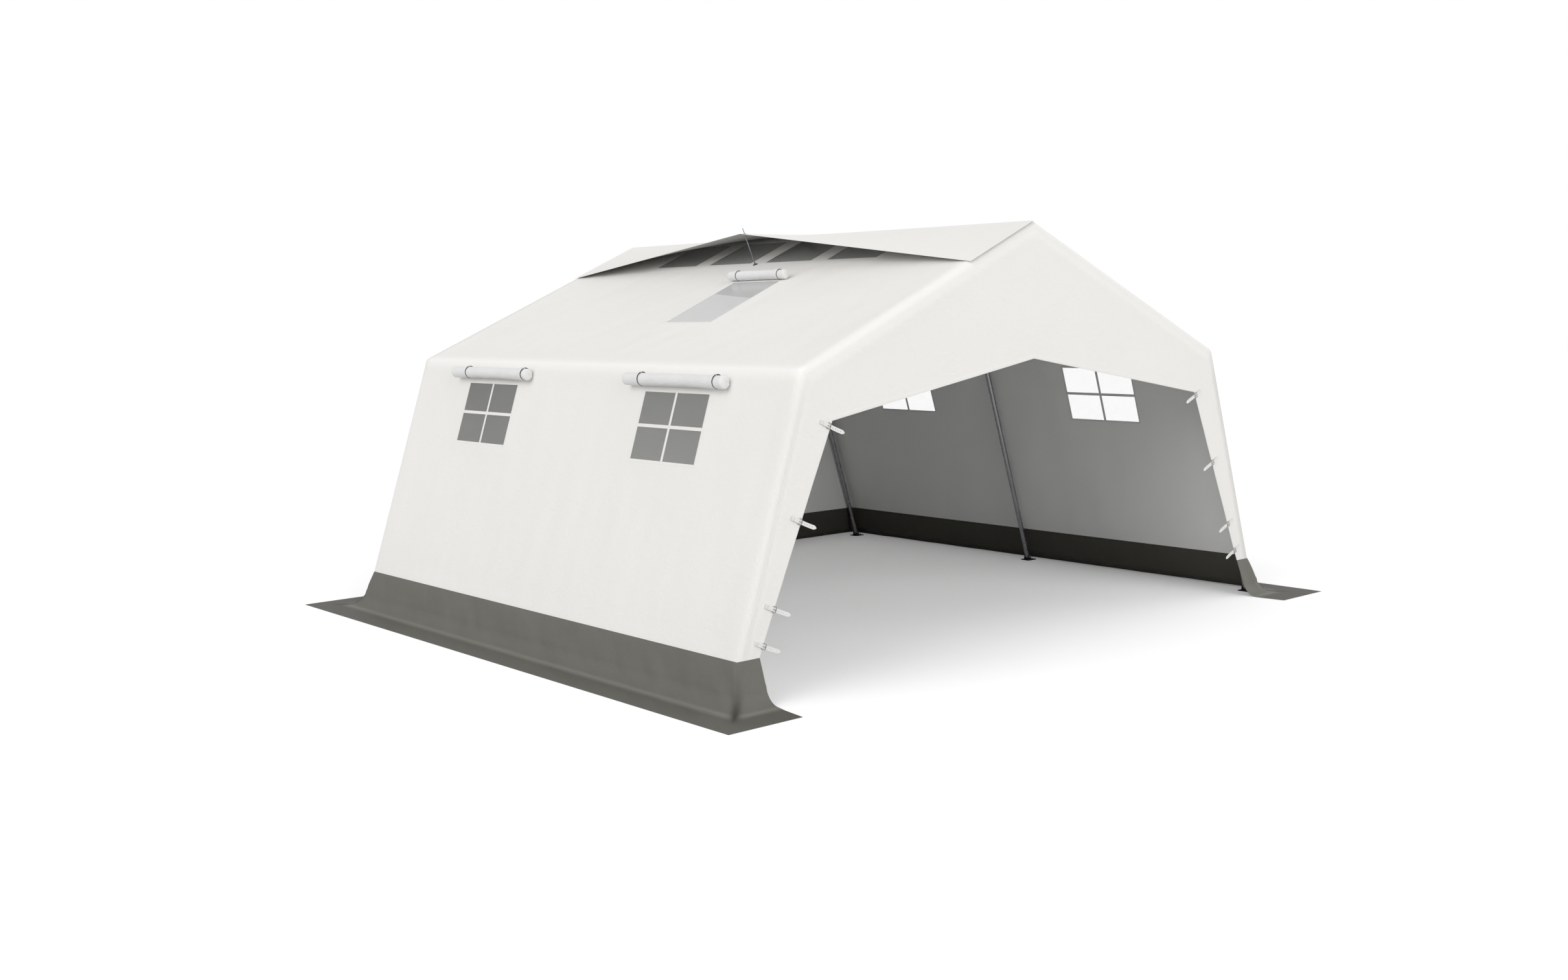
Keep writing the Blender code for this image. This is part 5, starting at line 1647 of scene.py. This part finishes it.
def door_path(inset):
    """The doorway's edge moved up and outwards by inset, from the left foot to the right."""
    pitch = math.atan2(DOOR_PEAK_HEIGHT - DOOR_SHOULDER_HEIGHT, DOOR_SHOULDER_HALF_WIDTH)
    foot_x = DOOR_FOOT_HALF_WIDTH + inset / math.cos(DOOR_LEAN)
    peak_z = DOOR_PEAK_HEIGHT + inset / math.cos(pitch)
    slope = math.tan(pitch)
    jamb = math.tan(DOOR_LEAN)
    # Where the moved jamb meets the moved header
    z = (peak_z - slope * (foot_x + SKIRT_HEIGHT * jamb)) / (1 - slope * jamb)
    x = foot_x - (z - SKIRT_HEIGHT) * jamb
    low = 0.004
    low_x = foot_x - low * jamb
    y = -HALF_LENGTH
    return [(-low_x, y, SKIRT_HEIGHT + low), (-x, y, z), (0, y, peak_z), (x, y, z), (low_x, y, SKIRT_HEIGHT + low)]


stitch_paths = [door_path(0.004), door_path(HEM_WIDTH - 0.004)]
door_hem = build_tapes("door_hem", [door_path(HEM_WIDTH / 2)], HEM_WIDTH, HEM_RISE)
tape_out = 0.004 + TAPE_WIDTH / 2
for name, side in SIDES.items():
    plane = wall_plane(side)
    rings = []
    for way in ENDS.values():
        box = window_box(way)
        rings.append(box_path(plane, box, tape_out))
        stitch_paths += [box_path(plane, box, out) for out in TAPE_ROWS]
        low_y, high_y, head, sill = box
        for shift in BAR_ROWS:
            across = (head + sill) / 2 + shift
            upright = way * WINDOW_OFFSET + shift
            stitch_paths.append([tuple(on_plane(plane, across, y)) for y in (low_y, high_y)])
            stitch_paths.append([tuple(on_plane(plane, s, upright)) for s in (head, sill)])
    build_tapes("window_tapes_" + name, rings, TAPE_WIDTH, TAPE_RISE)
    low = wall_length(SKIRT_HEIGHT + 0.010)
    ends = (-HALF_LENGTH + 0.01, HALF_LENGTH - 0.01)
    stitch_paths.append([tuple(on_plane(plane, low, y)) for y in ends])
slope = roof_plane(-1)
rings = [box_path(slope, box, tape_out) for box in ROOF_HOLES]
stitch_paths += [box_path(slope, box, out) for box in ROOF_HOLES for out in TAPE_ROWS]
roof_tapes = build_tapes("roof_opening_tapes", rings, TAPE_WIDTH, TAPE_RISE)
for side in SIDES.values():
    # The seam beside the back gable, from the ridge over the eave to the skirt
    y = HALF_LENGTH - 0.060
    eave = Vector((side * EAVE_HALF_WIDTH, y, EAVE_HEIGHT))
    foot = eave + wall_down(side) * (WALL_LENGTH - 0.004)
    stitch_paths.append([tuple(RIDGE + roof_down(side) * 0.02 + Y_AXIS * y), tuple(eave), tuple(foot)])
reach = wall_x(SKIRT_HEIGHT) - 0.02
stitch_paths.append([(x, HALF_LENGTH, SKIRT_HEIGHT + 0.010) for x in (-reach, reach)])
mesh = grown("cover_stitches", stitch_tree, *stitch_guides(stitch_paths), **COVER_STITCH)
cover_stitches = add_piece("cover_stitches", mesh)


# The doorway's area and the names of the purlins


door_area = (DOOR_SHOULDER_HEIGHT - SKIRT_HEIGHT) * (DOOR_FOOT_HALF_WIDTH + DOOR_SHOULDER_HALF_WIDTH)
door_area += DOOR_SHOULDER_HALF_WIDTH * (DOOR_PEAK_HEIGHT - DOOR_SHOULDER_HEIGHT)
purlins = ["ridge_purlin", "eave_purlin_left", "eave_purlin_right"]


# Frame

TUBE_RADIUS = 0.0212
TUBE_SIDES = 36
BORE_RADIUS = 0.0216
SLEEVE_RADIUS = 0.0248
SLEEVE_REACH = 0.110
SLEEVE_EDGE = (0.0015, 0.0012)
SOCKET_START = 0.032
TUBE_START = 0.0324
PURLIN_SLEEVE = 0.085
# How far a purlin's closed sleeve goes past the arch, and the purlin's tube in it
PURLIN_STOP = 0.0106
PURLIN_PAST = 0.0102
FRAME_INSET = 0.060
PURLIN_INSET = 0.0271
ARCHES = {"front": -2.340, "middle": 0.0, "back": 2.340}
PIN_HEIGHT = 0.0338
LEG_OVERHANG = 0.018
WELD_DISTANCE = 0.030
WELD_WIRE = 0.0022
BOLT_DISTANCE = 0.086
JOINT_BOLT = 0.0115
FOOT_BOLT = 0.0125


def eave_point(side, inset, y=0.0):
    x, z = eave_section(inset)
    return Vector((side * x, y, z))


def ridge_point(inset, y=0.0):
    return Vector((0, y, RIDGE_HEIGHT - inset / math.cos(ROOF_ANGLE)))


def foot_pin(side, y=0.0):
    return Vector((side * wall_x(PIN_HEIGHT, FRAME_INSET), y, PIN_HEIGHT))


def sleeve_lip(end):
    """The eased outer edge of a sleeve's open end."""
    return [(end - SLEEVE_EDGE[0], SLEEVE_RADIUS), (end, SLEEVE_RADIUS - SLEEVE_EDGE[1])]


def sleeve(start, direction):
    """A socket from a joint's centre outwards, open at its far end."""
    profile = [(0, 0), (0, SLEEVE_RADIUS), *sleeve_lip(SLEEVE_REACH), (SLEEVE_REACH, BORE_RADIUS + 0.0006)]
    profile += [(SLEEVE_REACH - 0.0008, BORE_RADIUS), (SOCKET_START, BORE_RADIUS), (SOCKET_START, 0)]
    return lathe(start, direction, profile, joint_steel)


def purlin_sleeve(middle, inward):
    """A purlin's sleeve: open at both ends in the middle arch, closed outwards at the others."""
    if inward == 0:
        half = PURLIN_SLEEVE / 2
        lip = sleeve_lip(half)
        outer = [(-along, radius) for along, radius in reversed(lip)] + lip
        profile = [(-half, BORE_RADIUS), *outer, (half, BORE_RADIUS), (-half, BORE_RADIUS)]
        return lathe(middle, Y_AXIS, profile, joint_steel)
    turns = [math.radians(90 * k / 8) for k in range(8)]
    profile = [(-SLEEVE_RADIUS * math.cos(t), SLEEVE_RADIUS * math.sin(t)) for t in turns]
    profile += [(0, SLEEVE_RADIUS), *sleeve_lip(PURLIN_SLEEVE), (PURLIN_SLEEVE, BORE_RADIUS)]
    profile += [(-PURLIN_STOP, BORE_RADIUS), (-PURLIN_STOP, 0)]
    return lathe(middle, Y_AXIS * inward, profile, joint_steel)


def ball(centre, radius):
    profile = [(-x, y) for x, y in half_circle(radius, 12)]
    return lathe(centre, Y_AXIS, [(-radius, 0), *profile[1:-1], (radius, 0)], joint_steel)


def weld_bead(start, direction, radius):
    """The rippled ring of weld where a sleeve leaves the elbow."""
    mesh = lathe(start, direction, ring_profile(radius, WELD_WIRE, 6), weld_metal, sides=40, angle=60)
    for vert in mesh.vertices:
        vert.co += vert.normal * 0.0007 * noise.noise(vert.co * 260)
    return mesh


def build_joint(name, centre, arms, purlin, arch_y):
    inward = 0 if arch_y == 0 else -math.copysign(1, arch_y)
    parts = [ball(centre, SLEEVE_RADIUS), purlin_sleeve(purlin, inward)]
    bolts = []
    ups = []
    for arm in arms:
        parts.append(sleeve(centre, arm))
        parts.append(weld_bead(centre + arm * WELD_DISTANCE, arm, SLEEVE_RADIUS - 0.0006))
        below = Y_AXIS.cross(arm)
        if below.dot(purlin - centre) > 0:
            below = -below
        bolts.append(centre + arm * BOLT_DISTANCE + below * (SLEEVE_RADIUS - 0.0004))
        ups.append(tuple(below))
    parts.append(grown("bolts", bolt_tree, bolts, [], ups, Size=JOINT_BOLT, Finish=zinc))
    add_piece(name + "_welded", merged(name + "_welded", parts), replaces=[name])


tube_lines = []
tube_nodes = []
for arch, arch_y in ARCHES.items():
    ridge = ridge_point(FRAME_INSET, arch_y)
    for name, side in SIDES.items():
        down, slope_down = wall_down(side), roof_down(side)
        eave = eave_point(side, FRAME_INSET, arch_y)
        tube_lines.append((foot_pin(side, arch_y) + down * LEG_OVERHANG, eave + down * TUBE_START))
        tube_lines.append((eave - slope_down * TUBE_START, ridge + slope_down * TUBE_START))
        tube_nodes += [f"leg_{name}_{arch}", f"rafter_{name}_{arch}"]
        purlin = eave_point(side, PURLIN_INSET, arch_y)
        build_joint(f"eave_joint_{name}_{arch}", eave, (down, -slope_down), purlin, arch_y)
    purlin = ridge_point(PURLIN_INSET, arch_y)
    build_joint("ridge_joint_" + arch, ridge, (roof_down(-1), roof_down(1)), purlin, arch_y)
purlin_end = Y_AXIS * (ARCHES["back"] + PURLIN_PAST)
for start in (ridge_point(PURLIN_INSET), eave_point(-1, PURLIN_INSET), eave_point(1, PURLIN_INSET)):
    tube_lines.append((start - purlin_end, start + purlin_end))
points = [p for line in tube_lines for p in line]
edges = [(2 * i, 2 * i + 1) for i in range(len(tube_lines))]
look = {"Radius": TUBE_RADIUS, "Sides": TUBE_SIDES, "Finish": tube_steel}
mesh = grown("frame_tubes", tube_tree, points, edges, **look)
smooth_by_angle(mesh, 40)
add_piece("frame_tubes", mesh, replaces=tube_nodes + purlins)


# Foot plates, each on its own body

FOOT_THICKNESS = 0.005
FOOT_HALF_SIZE = (0.060, 0.050)
FOOT_CORNER = 0.012
FOOT_SHIFT = 0.015
FOOT_HOLE_RADIUS = 0.0045
FOOT_HOLES = ((0.060, -0.030), (-0.036, 0.036))
# Half the gap between the fork's lugs, and half the fork's width
FORK_INNER = 0.0222
FORK_OUTER = 0.0272
LUG_RADIUS = 0.016
LUG_WELD = 0.0006
PIN_RADIUS = 0.005
PIN_HALF_LENGTH = 0.0318
RING_RADIUS = 0.013
RING_WIRE = 0.003
RING_OFFSET = 0.052


def plate(outline, thickness, place, finish, bevel, holes=()):
    """A flat plate with eased edges; its outline lies in local XY and its top at z = 0."""
    found, faces = cut_out(outline, holes)
    points = [(v.x, v.y, 0.0) for v in found]
    flat = [(v.x, v.y) for v in found]
    mesh = cloth_shell("plate", points, faces, flat, thickness, finish, normals=[(0, 0, 1)] * len(points))
    bm = bmesh.new()
    bm.from_mesh(mesh)
    sharp = [e for e in bm.edges if len(e.link_faces) == 2 and e.calc_face_angle(0) > math.radians(60)]
    bmesh.ops.bevel(bm, geom=sharp, offset=bevel, segments=2, affect="EDGES", clamp_overlap=True)
    bmesh.ops.recalc_face_normals(bm, faces=bm.faces)
    for face in bm.faces:
        face.material_index = 0
    bm.to_mesh(mesh)
    bm.free()
    if mesh.attributes.get("custom_normal"):
        mesh.attributes.remove(mesh.attributes["custom_normal"])
    smooth_by_angle(mesh, 35)
    mesh.transform(place)
    mesh.materials.pop()
    return mesh


def build_foot(name, side, arch_y):
    pin = foot_pin(side, arch_y)
    base = [(side * FOOT_SHIFT + x, y) for x, y in rounded_loop(*FOOT_HALF_SIZE, FOOT_CORNER)]
    holes = [circle(side * x, y, FOOT_HOLE_RADIUS) for x in FOOT_HOLES[0] for y in FOOT_HOLES[1]]
    ground = Matrix.Translation((pin.x, pin.y, FOOT_THICKNESS))
    parts = [plate(base, FOOT_THICKNESS, ground, joint_steel, 0.0009, holes)]
    low = FOOT_THICKNESS - LUG_WELD - PIN_HEIGHT
    lug = [(-0.020, low), (0.020, low), (0.0185, low + 0.004), (LUG_RADIUS, 0.0)]
    lug += half_circle(LUG_RADIUS, 16, 1) + [(-0.0185, low + 0.004)]
    # Local Z of the lug's plate points along -Y, so its thickness goes along +Y
    turn = Matrix(((1, 0, 0), (0, 0, -1), (0, 1, 0))).to_4x4()
    for shift in (-FORK_OUTER, FORK_INNER):
        parts.append(plate(lug, FOOT_THICKNESS, Matrix.Translation(pin + Y_AXIS * shift) @ turn, joint_steel, 0.0008))
    length = 2 * PIN_HALF_LENGTH
    eased = 0.0008
    half = [(0, 0), (0, PIN_RADIUS - eased), (eased, PIN_RADIUS)]
    profile = half + [(length - along, radius) for along, radius in reversed(half)]
    parts.append(lathe(pin - Y_AXIS * PIN_HALF_LENGTH, Y_AXIS, profile, zinc, sides=20))
    heads = [pin + Y_AXIS * FORK_OUTER, pin - Y_AXIS * FORK_OUTER]
    ups = [(0, 1, 0), (0, -1, 0)]
    parts.append(grown("bolts", bolt_tree, heads, [], ups, Size=FOOT_BOLT, Finish=zinc))
    ring = (pin.x + side * RING_OFFSET, pin.y, FOOT_THICKNESS + RING_RADIUS - RING_WIRE / 2)
    parts.append(lathe(ring, Y_AXIS, ring_profile(RING_RADIUS, RING_WIRE), zinc, angle=60))
    add_piece(name + "_plate", merged(name + "_plate", parts), name, [name])


for name, side in SIDES.items():
    for arch, arch_y in ARCHES.items():
        build_foot(f"foot_{name}_{arch}", side, arch_y)


# Stay of the ridge flap

STAY_RADIUS = 0.0045
STAY_LENGTH = 0.308
STAY_PIVOT = 0.010
EAR_GAP = 0.0050
EAR_THICKNESS = 0.0030
PIVOT_HALF_LENGTH = 0.0092
# Outlines of the socket's round foot, of its two ears and of an end of the pin through them
SOCKET_FOOT = ((0, 0), (0, 0.0200), (0.0018, 0.0200), (0.0030, 0.0186), (0.0030, 0))
EAR = ((-0.0060, -0.0075), (0.0060, -0.0075), *half_circle(0.0045, 12))
PIVOT_END = ((0, 0), (0, 0.0024), (0.0010, 0.0032), (0.0016, 0.0018))
# Along from the pivot, or back from the tip, and share of the rod's radius
ROD_FOOT = ((-STAY_RADIUS, 0), (-STAY_RADIUS * 0.8, 0.6), (-STAY_RADIUS * 0.4, 0.9), (0, 1))
ROD_TIP = ((0.052, 1), (0.050, 0.75), (0.003, 0.72), (0.0008, 0.45), (0, 0))
stay_up = roof_normal(-1)
stay_pivot = RIDGE + roof_down(-1) * STAY_DISTANCE + stay_up * (0.0003 + STAY_PIVOT)
length = STAY_LENGTH - STAY_PIVOT
profile = [(along, STAY_RADIUS * share) for along, share in ROD_FOOT]
profile += [(length - back, STAY_RADIUS * share) for back, share in ROD_TIP]
rod = lathe(stay_pivot, stay_up, profile, rod_steel, sides=24)
add_piece("stay_steel_rod", rod, "stay_rod", ["stay_rod"])
parts = [lathe(stay_pivot - stay_up * STAY_PIVOT, stay_up, SOCKET_FOOT, rod_steel, sides=40)]
across = roof_down(-1).cross(stay_up)
turn = Matrix((roof_down(-1), stay_up, across)).transposed().to_4x4()
for outer in (-EAR_GAP, EAR_GAP + EAR_THICKNESS):
    place = Matrix.Translation(stay_pivot + across * outer) @ turn
    parts.append(plate(EAR, EAR_THICKNESS, place, rod_steel, 0.0004))
profile = [*PIVOT_END, *((2 * PIVOT_HALF_LENGTH - along, radius) for along, radius in reversed(PIVOT_END))]
parts.append(lathe(stay_pivot - Y_AXIS * PIVOT_HALF_LENGTH, Y_AXIS, profile, zinc, sides=16))
add_piece("stay_socket_plate", merged("stay_socket_plate", parts), replaces=["stay_socket"])


# Eyelet in the flap for the stay, and the stitches along the flap's hem

STAY_EYELET = (0.0068, 0.0135, 0.0017)
HEM_ROWS = (0.010, 0.034)
mesh = build_eyelet(*flap_place(STAY_DISTANCE, 0.0), *STAY_EYELET, buckle_metal)
eyelet = add_piece("flap_eyelet", mesh)
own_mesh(eyelet)
points = []
edges = []
ups = []
for back in HEM_ROWS:
    for k, y in enumerate(grid_steps([-HALF_LENGTH + 0.01, 0.0, HALF_LENGTH - 0.01], 0.05)):
        place, normal = flap_place(flap_edge(y) - back, y)
        if k:
            edges.append((len(points) - 1, len(points)))
        points.append(place + normal * 0.0002)
        ups.append(tuple(normal))
mesh = grown("flap_stitches", stitch_tree, points, edges, ups, **FLAP_STITCH)
flap_stitches = add_piece("flap_stitches", mesh)
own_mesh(flap_stitches)


# Camera: the photograph's own viewpoint, solved from the tent's straight edges

CAMERA_PLACE = (-8.519, -9.528, 2.379)
CAMERA_YAW = 0.7133
CAMERA_PITCH = -0.1149
CAMERA_ROLL = -0.0158
LENS = 35.95
SENSOR_WIDTH = 36.0


def build_camera():
    yaw, pitch, roll = CAMERA_YAW, CAMERA_PITCH, CAMERA_ROLL
    ahead = Vector((math.sin(yaw) * math.cos(pitch), math.cos(yaw) * math.cos(pitch), math.sin(pitch)))
    right = Vector((math.cos(yaw), -math.sin(yaw), 0))
    up = right.cross(ahead)
    across = right * math.cos(roll) + up * math.sin(roll)
    upward = up * math.cos(roll) - right * math.sin(roll)
    turn = Matrix((across, upward, -ahead)).transposed().to_4x4()
    lens = bpy.data.cameras.new("camera")
    lens.lens = LENS
    lens.sensor_width = SENSOR_WIDTH
    made = linked("camera", lens)
    made.matrix_world = Matrix.Translation(CAMERA_PLACE) @ turn
    bpy.context.scene.camera = made


build_camera()


# Floor, backdrop and light

FLOOR_REACH = 60
FLOOR_DROP = 0.0006
FLOOR_GLOW = 0.18
WORLD_LEVEL = 0.585
# Each lamp's name, heading, strength and width in degrees
LAMPS = (
    ("left_light", (0.87, 0.0, -0.50), 1.13, 50),
    ("front_light", (0.0, 0.966, -0.26), 1.20, 50),
    ("right_light", (-0.90, 0.20, -0.38), 0.60, 50),
)


def build_floor():
    """A white floor, which glows a little for the camera only and is greyer to the light."""
    made, tree = new_material("matt_white_studio_floor")
    rays = add(tree, "ShaderNodeLightPath").outputs
    seen = maths(tree, "MAXIMUM", rays["Is Camera Ray"], rays["Is Glossy Ray"])
    seen = maths(tree, "MAXIMUM", seen, rays["Is Transmission Ray"])
    matt = add(tree, "ShaderNodeBsdfDiffuse", {"Color": mixed(tree, seen, "#D2D2D2", "#FFFFFF")})
    glow = add(tree, "ShaderNodeEmission", {"Color": colour("#FFFFFF"), "Strength": FLOOR_GLOW})
    none = add(tree, "ShaderNodeEmission", {"Strength": 0.0})
    only = add(tree, "ShaderNodeMixShader", {0: rays["Is Camera Ray"], 1: none, 2: glow})
    both = add(tree, "ShaderNodeAddShader", {0: matt, 1: only})
    add(tree, "ShaderNodeOutputMaterial", {"Surface": both})
    corners = [(x * FLOOR_REACH, y * FLOOR_REACH, 0) for x, y in ((-1, -1), (1, -1), (1, 1), (-1, 1))]
    floor = linked("floor", plain_mesh("floor", corners, [(0, 1, 2, 3)], [made]))
    floor.location.z = -FLOOR_DROP


def build_world():
    """White to the camera and through see-through cloth, dimmer as a light."""
    world = bpy.data.worlds.new("studio")
    bpy.context.scene.world = world
    world.use_nodes = True
    tree = world.node_tree
    tree.nodes.clear()
    rays = add(tree, "ShaderNodeLightPath").outputs
    seen = maths(tree, "MAXIMUM", rays["Is Camera Ray"], rays["Is Transmission Ray"])
    sky = {"Color": (1, 1, 1, 1), "Strength": ranged(tree, seen, (WORLD_LEVEL, 1.0))}
    add(tree, "ShaderNodeOutputWorld", {"Surface": add(tree, "ShaderNodeBackground", sky)})


def build_lamps():
    for label, heading, level, width in LAMPS:
        lamp = bpy.data.lights.new(label, "SUN")
        lamp.energy = level
        lamp.angle = math.radians(width)
        made = linked(label, lamp)
        made.rotation_mode = "QUATERNION"
        made.rotation_quaternion = Vector(heading).to_track_quat("-Z", "Y")


build_floor()
build_world()
build_lamps()

bpy.context.scene.view_settings.view_transform = "Standard"

bpy.context.view_layer.update()
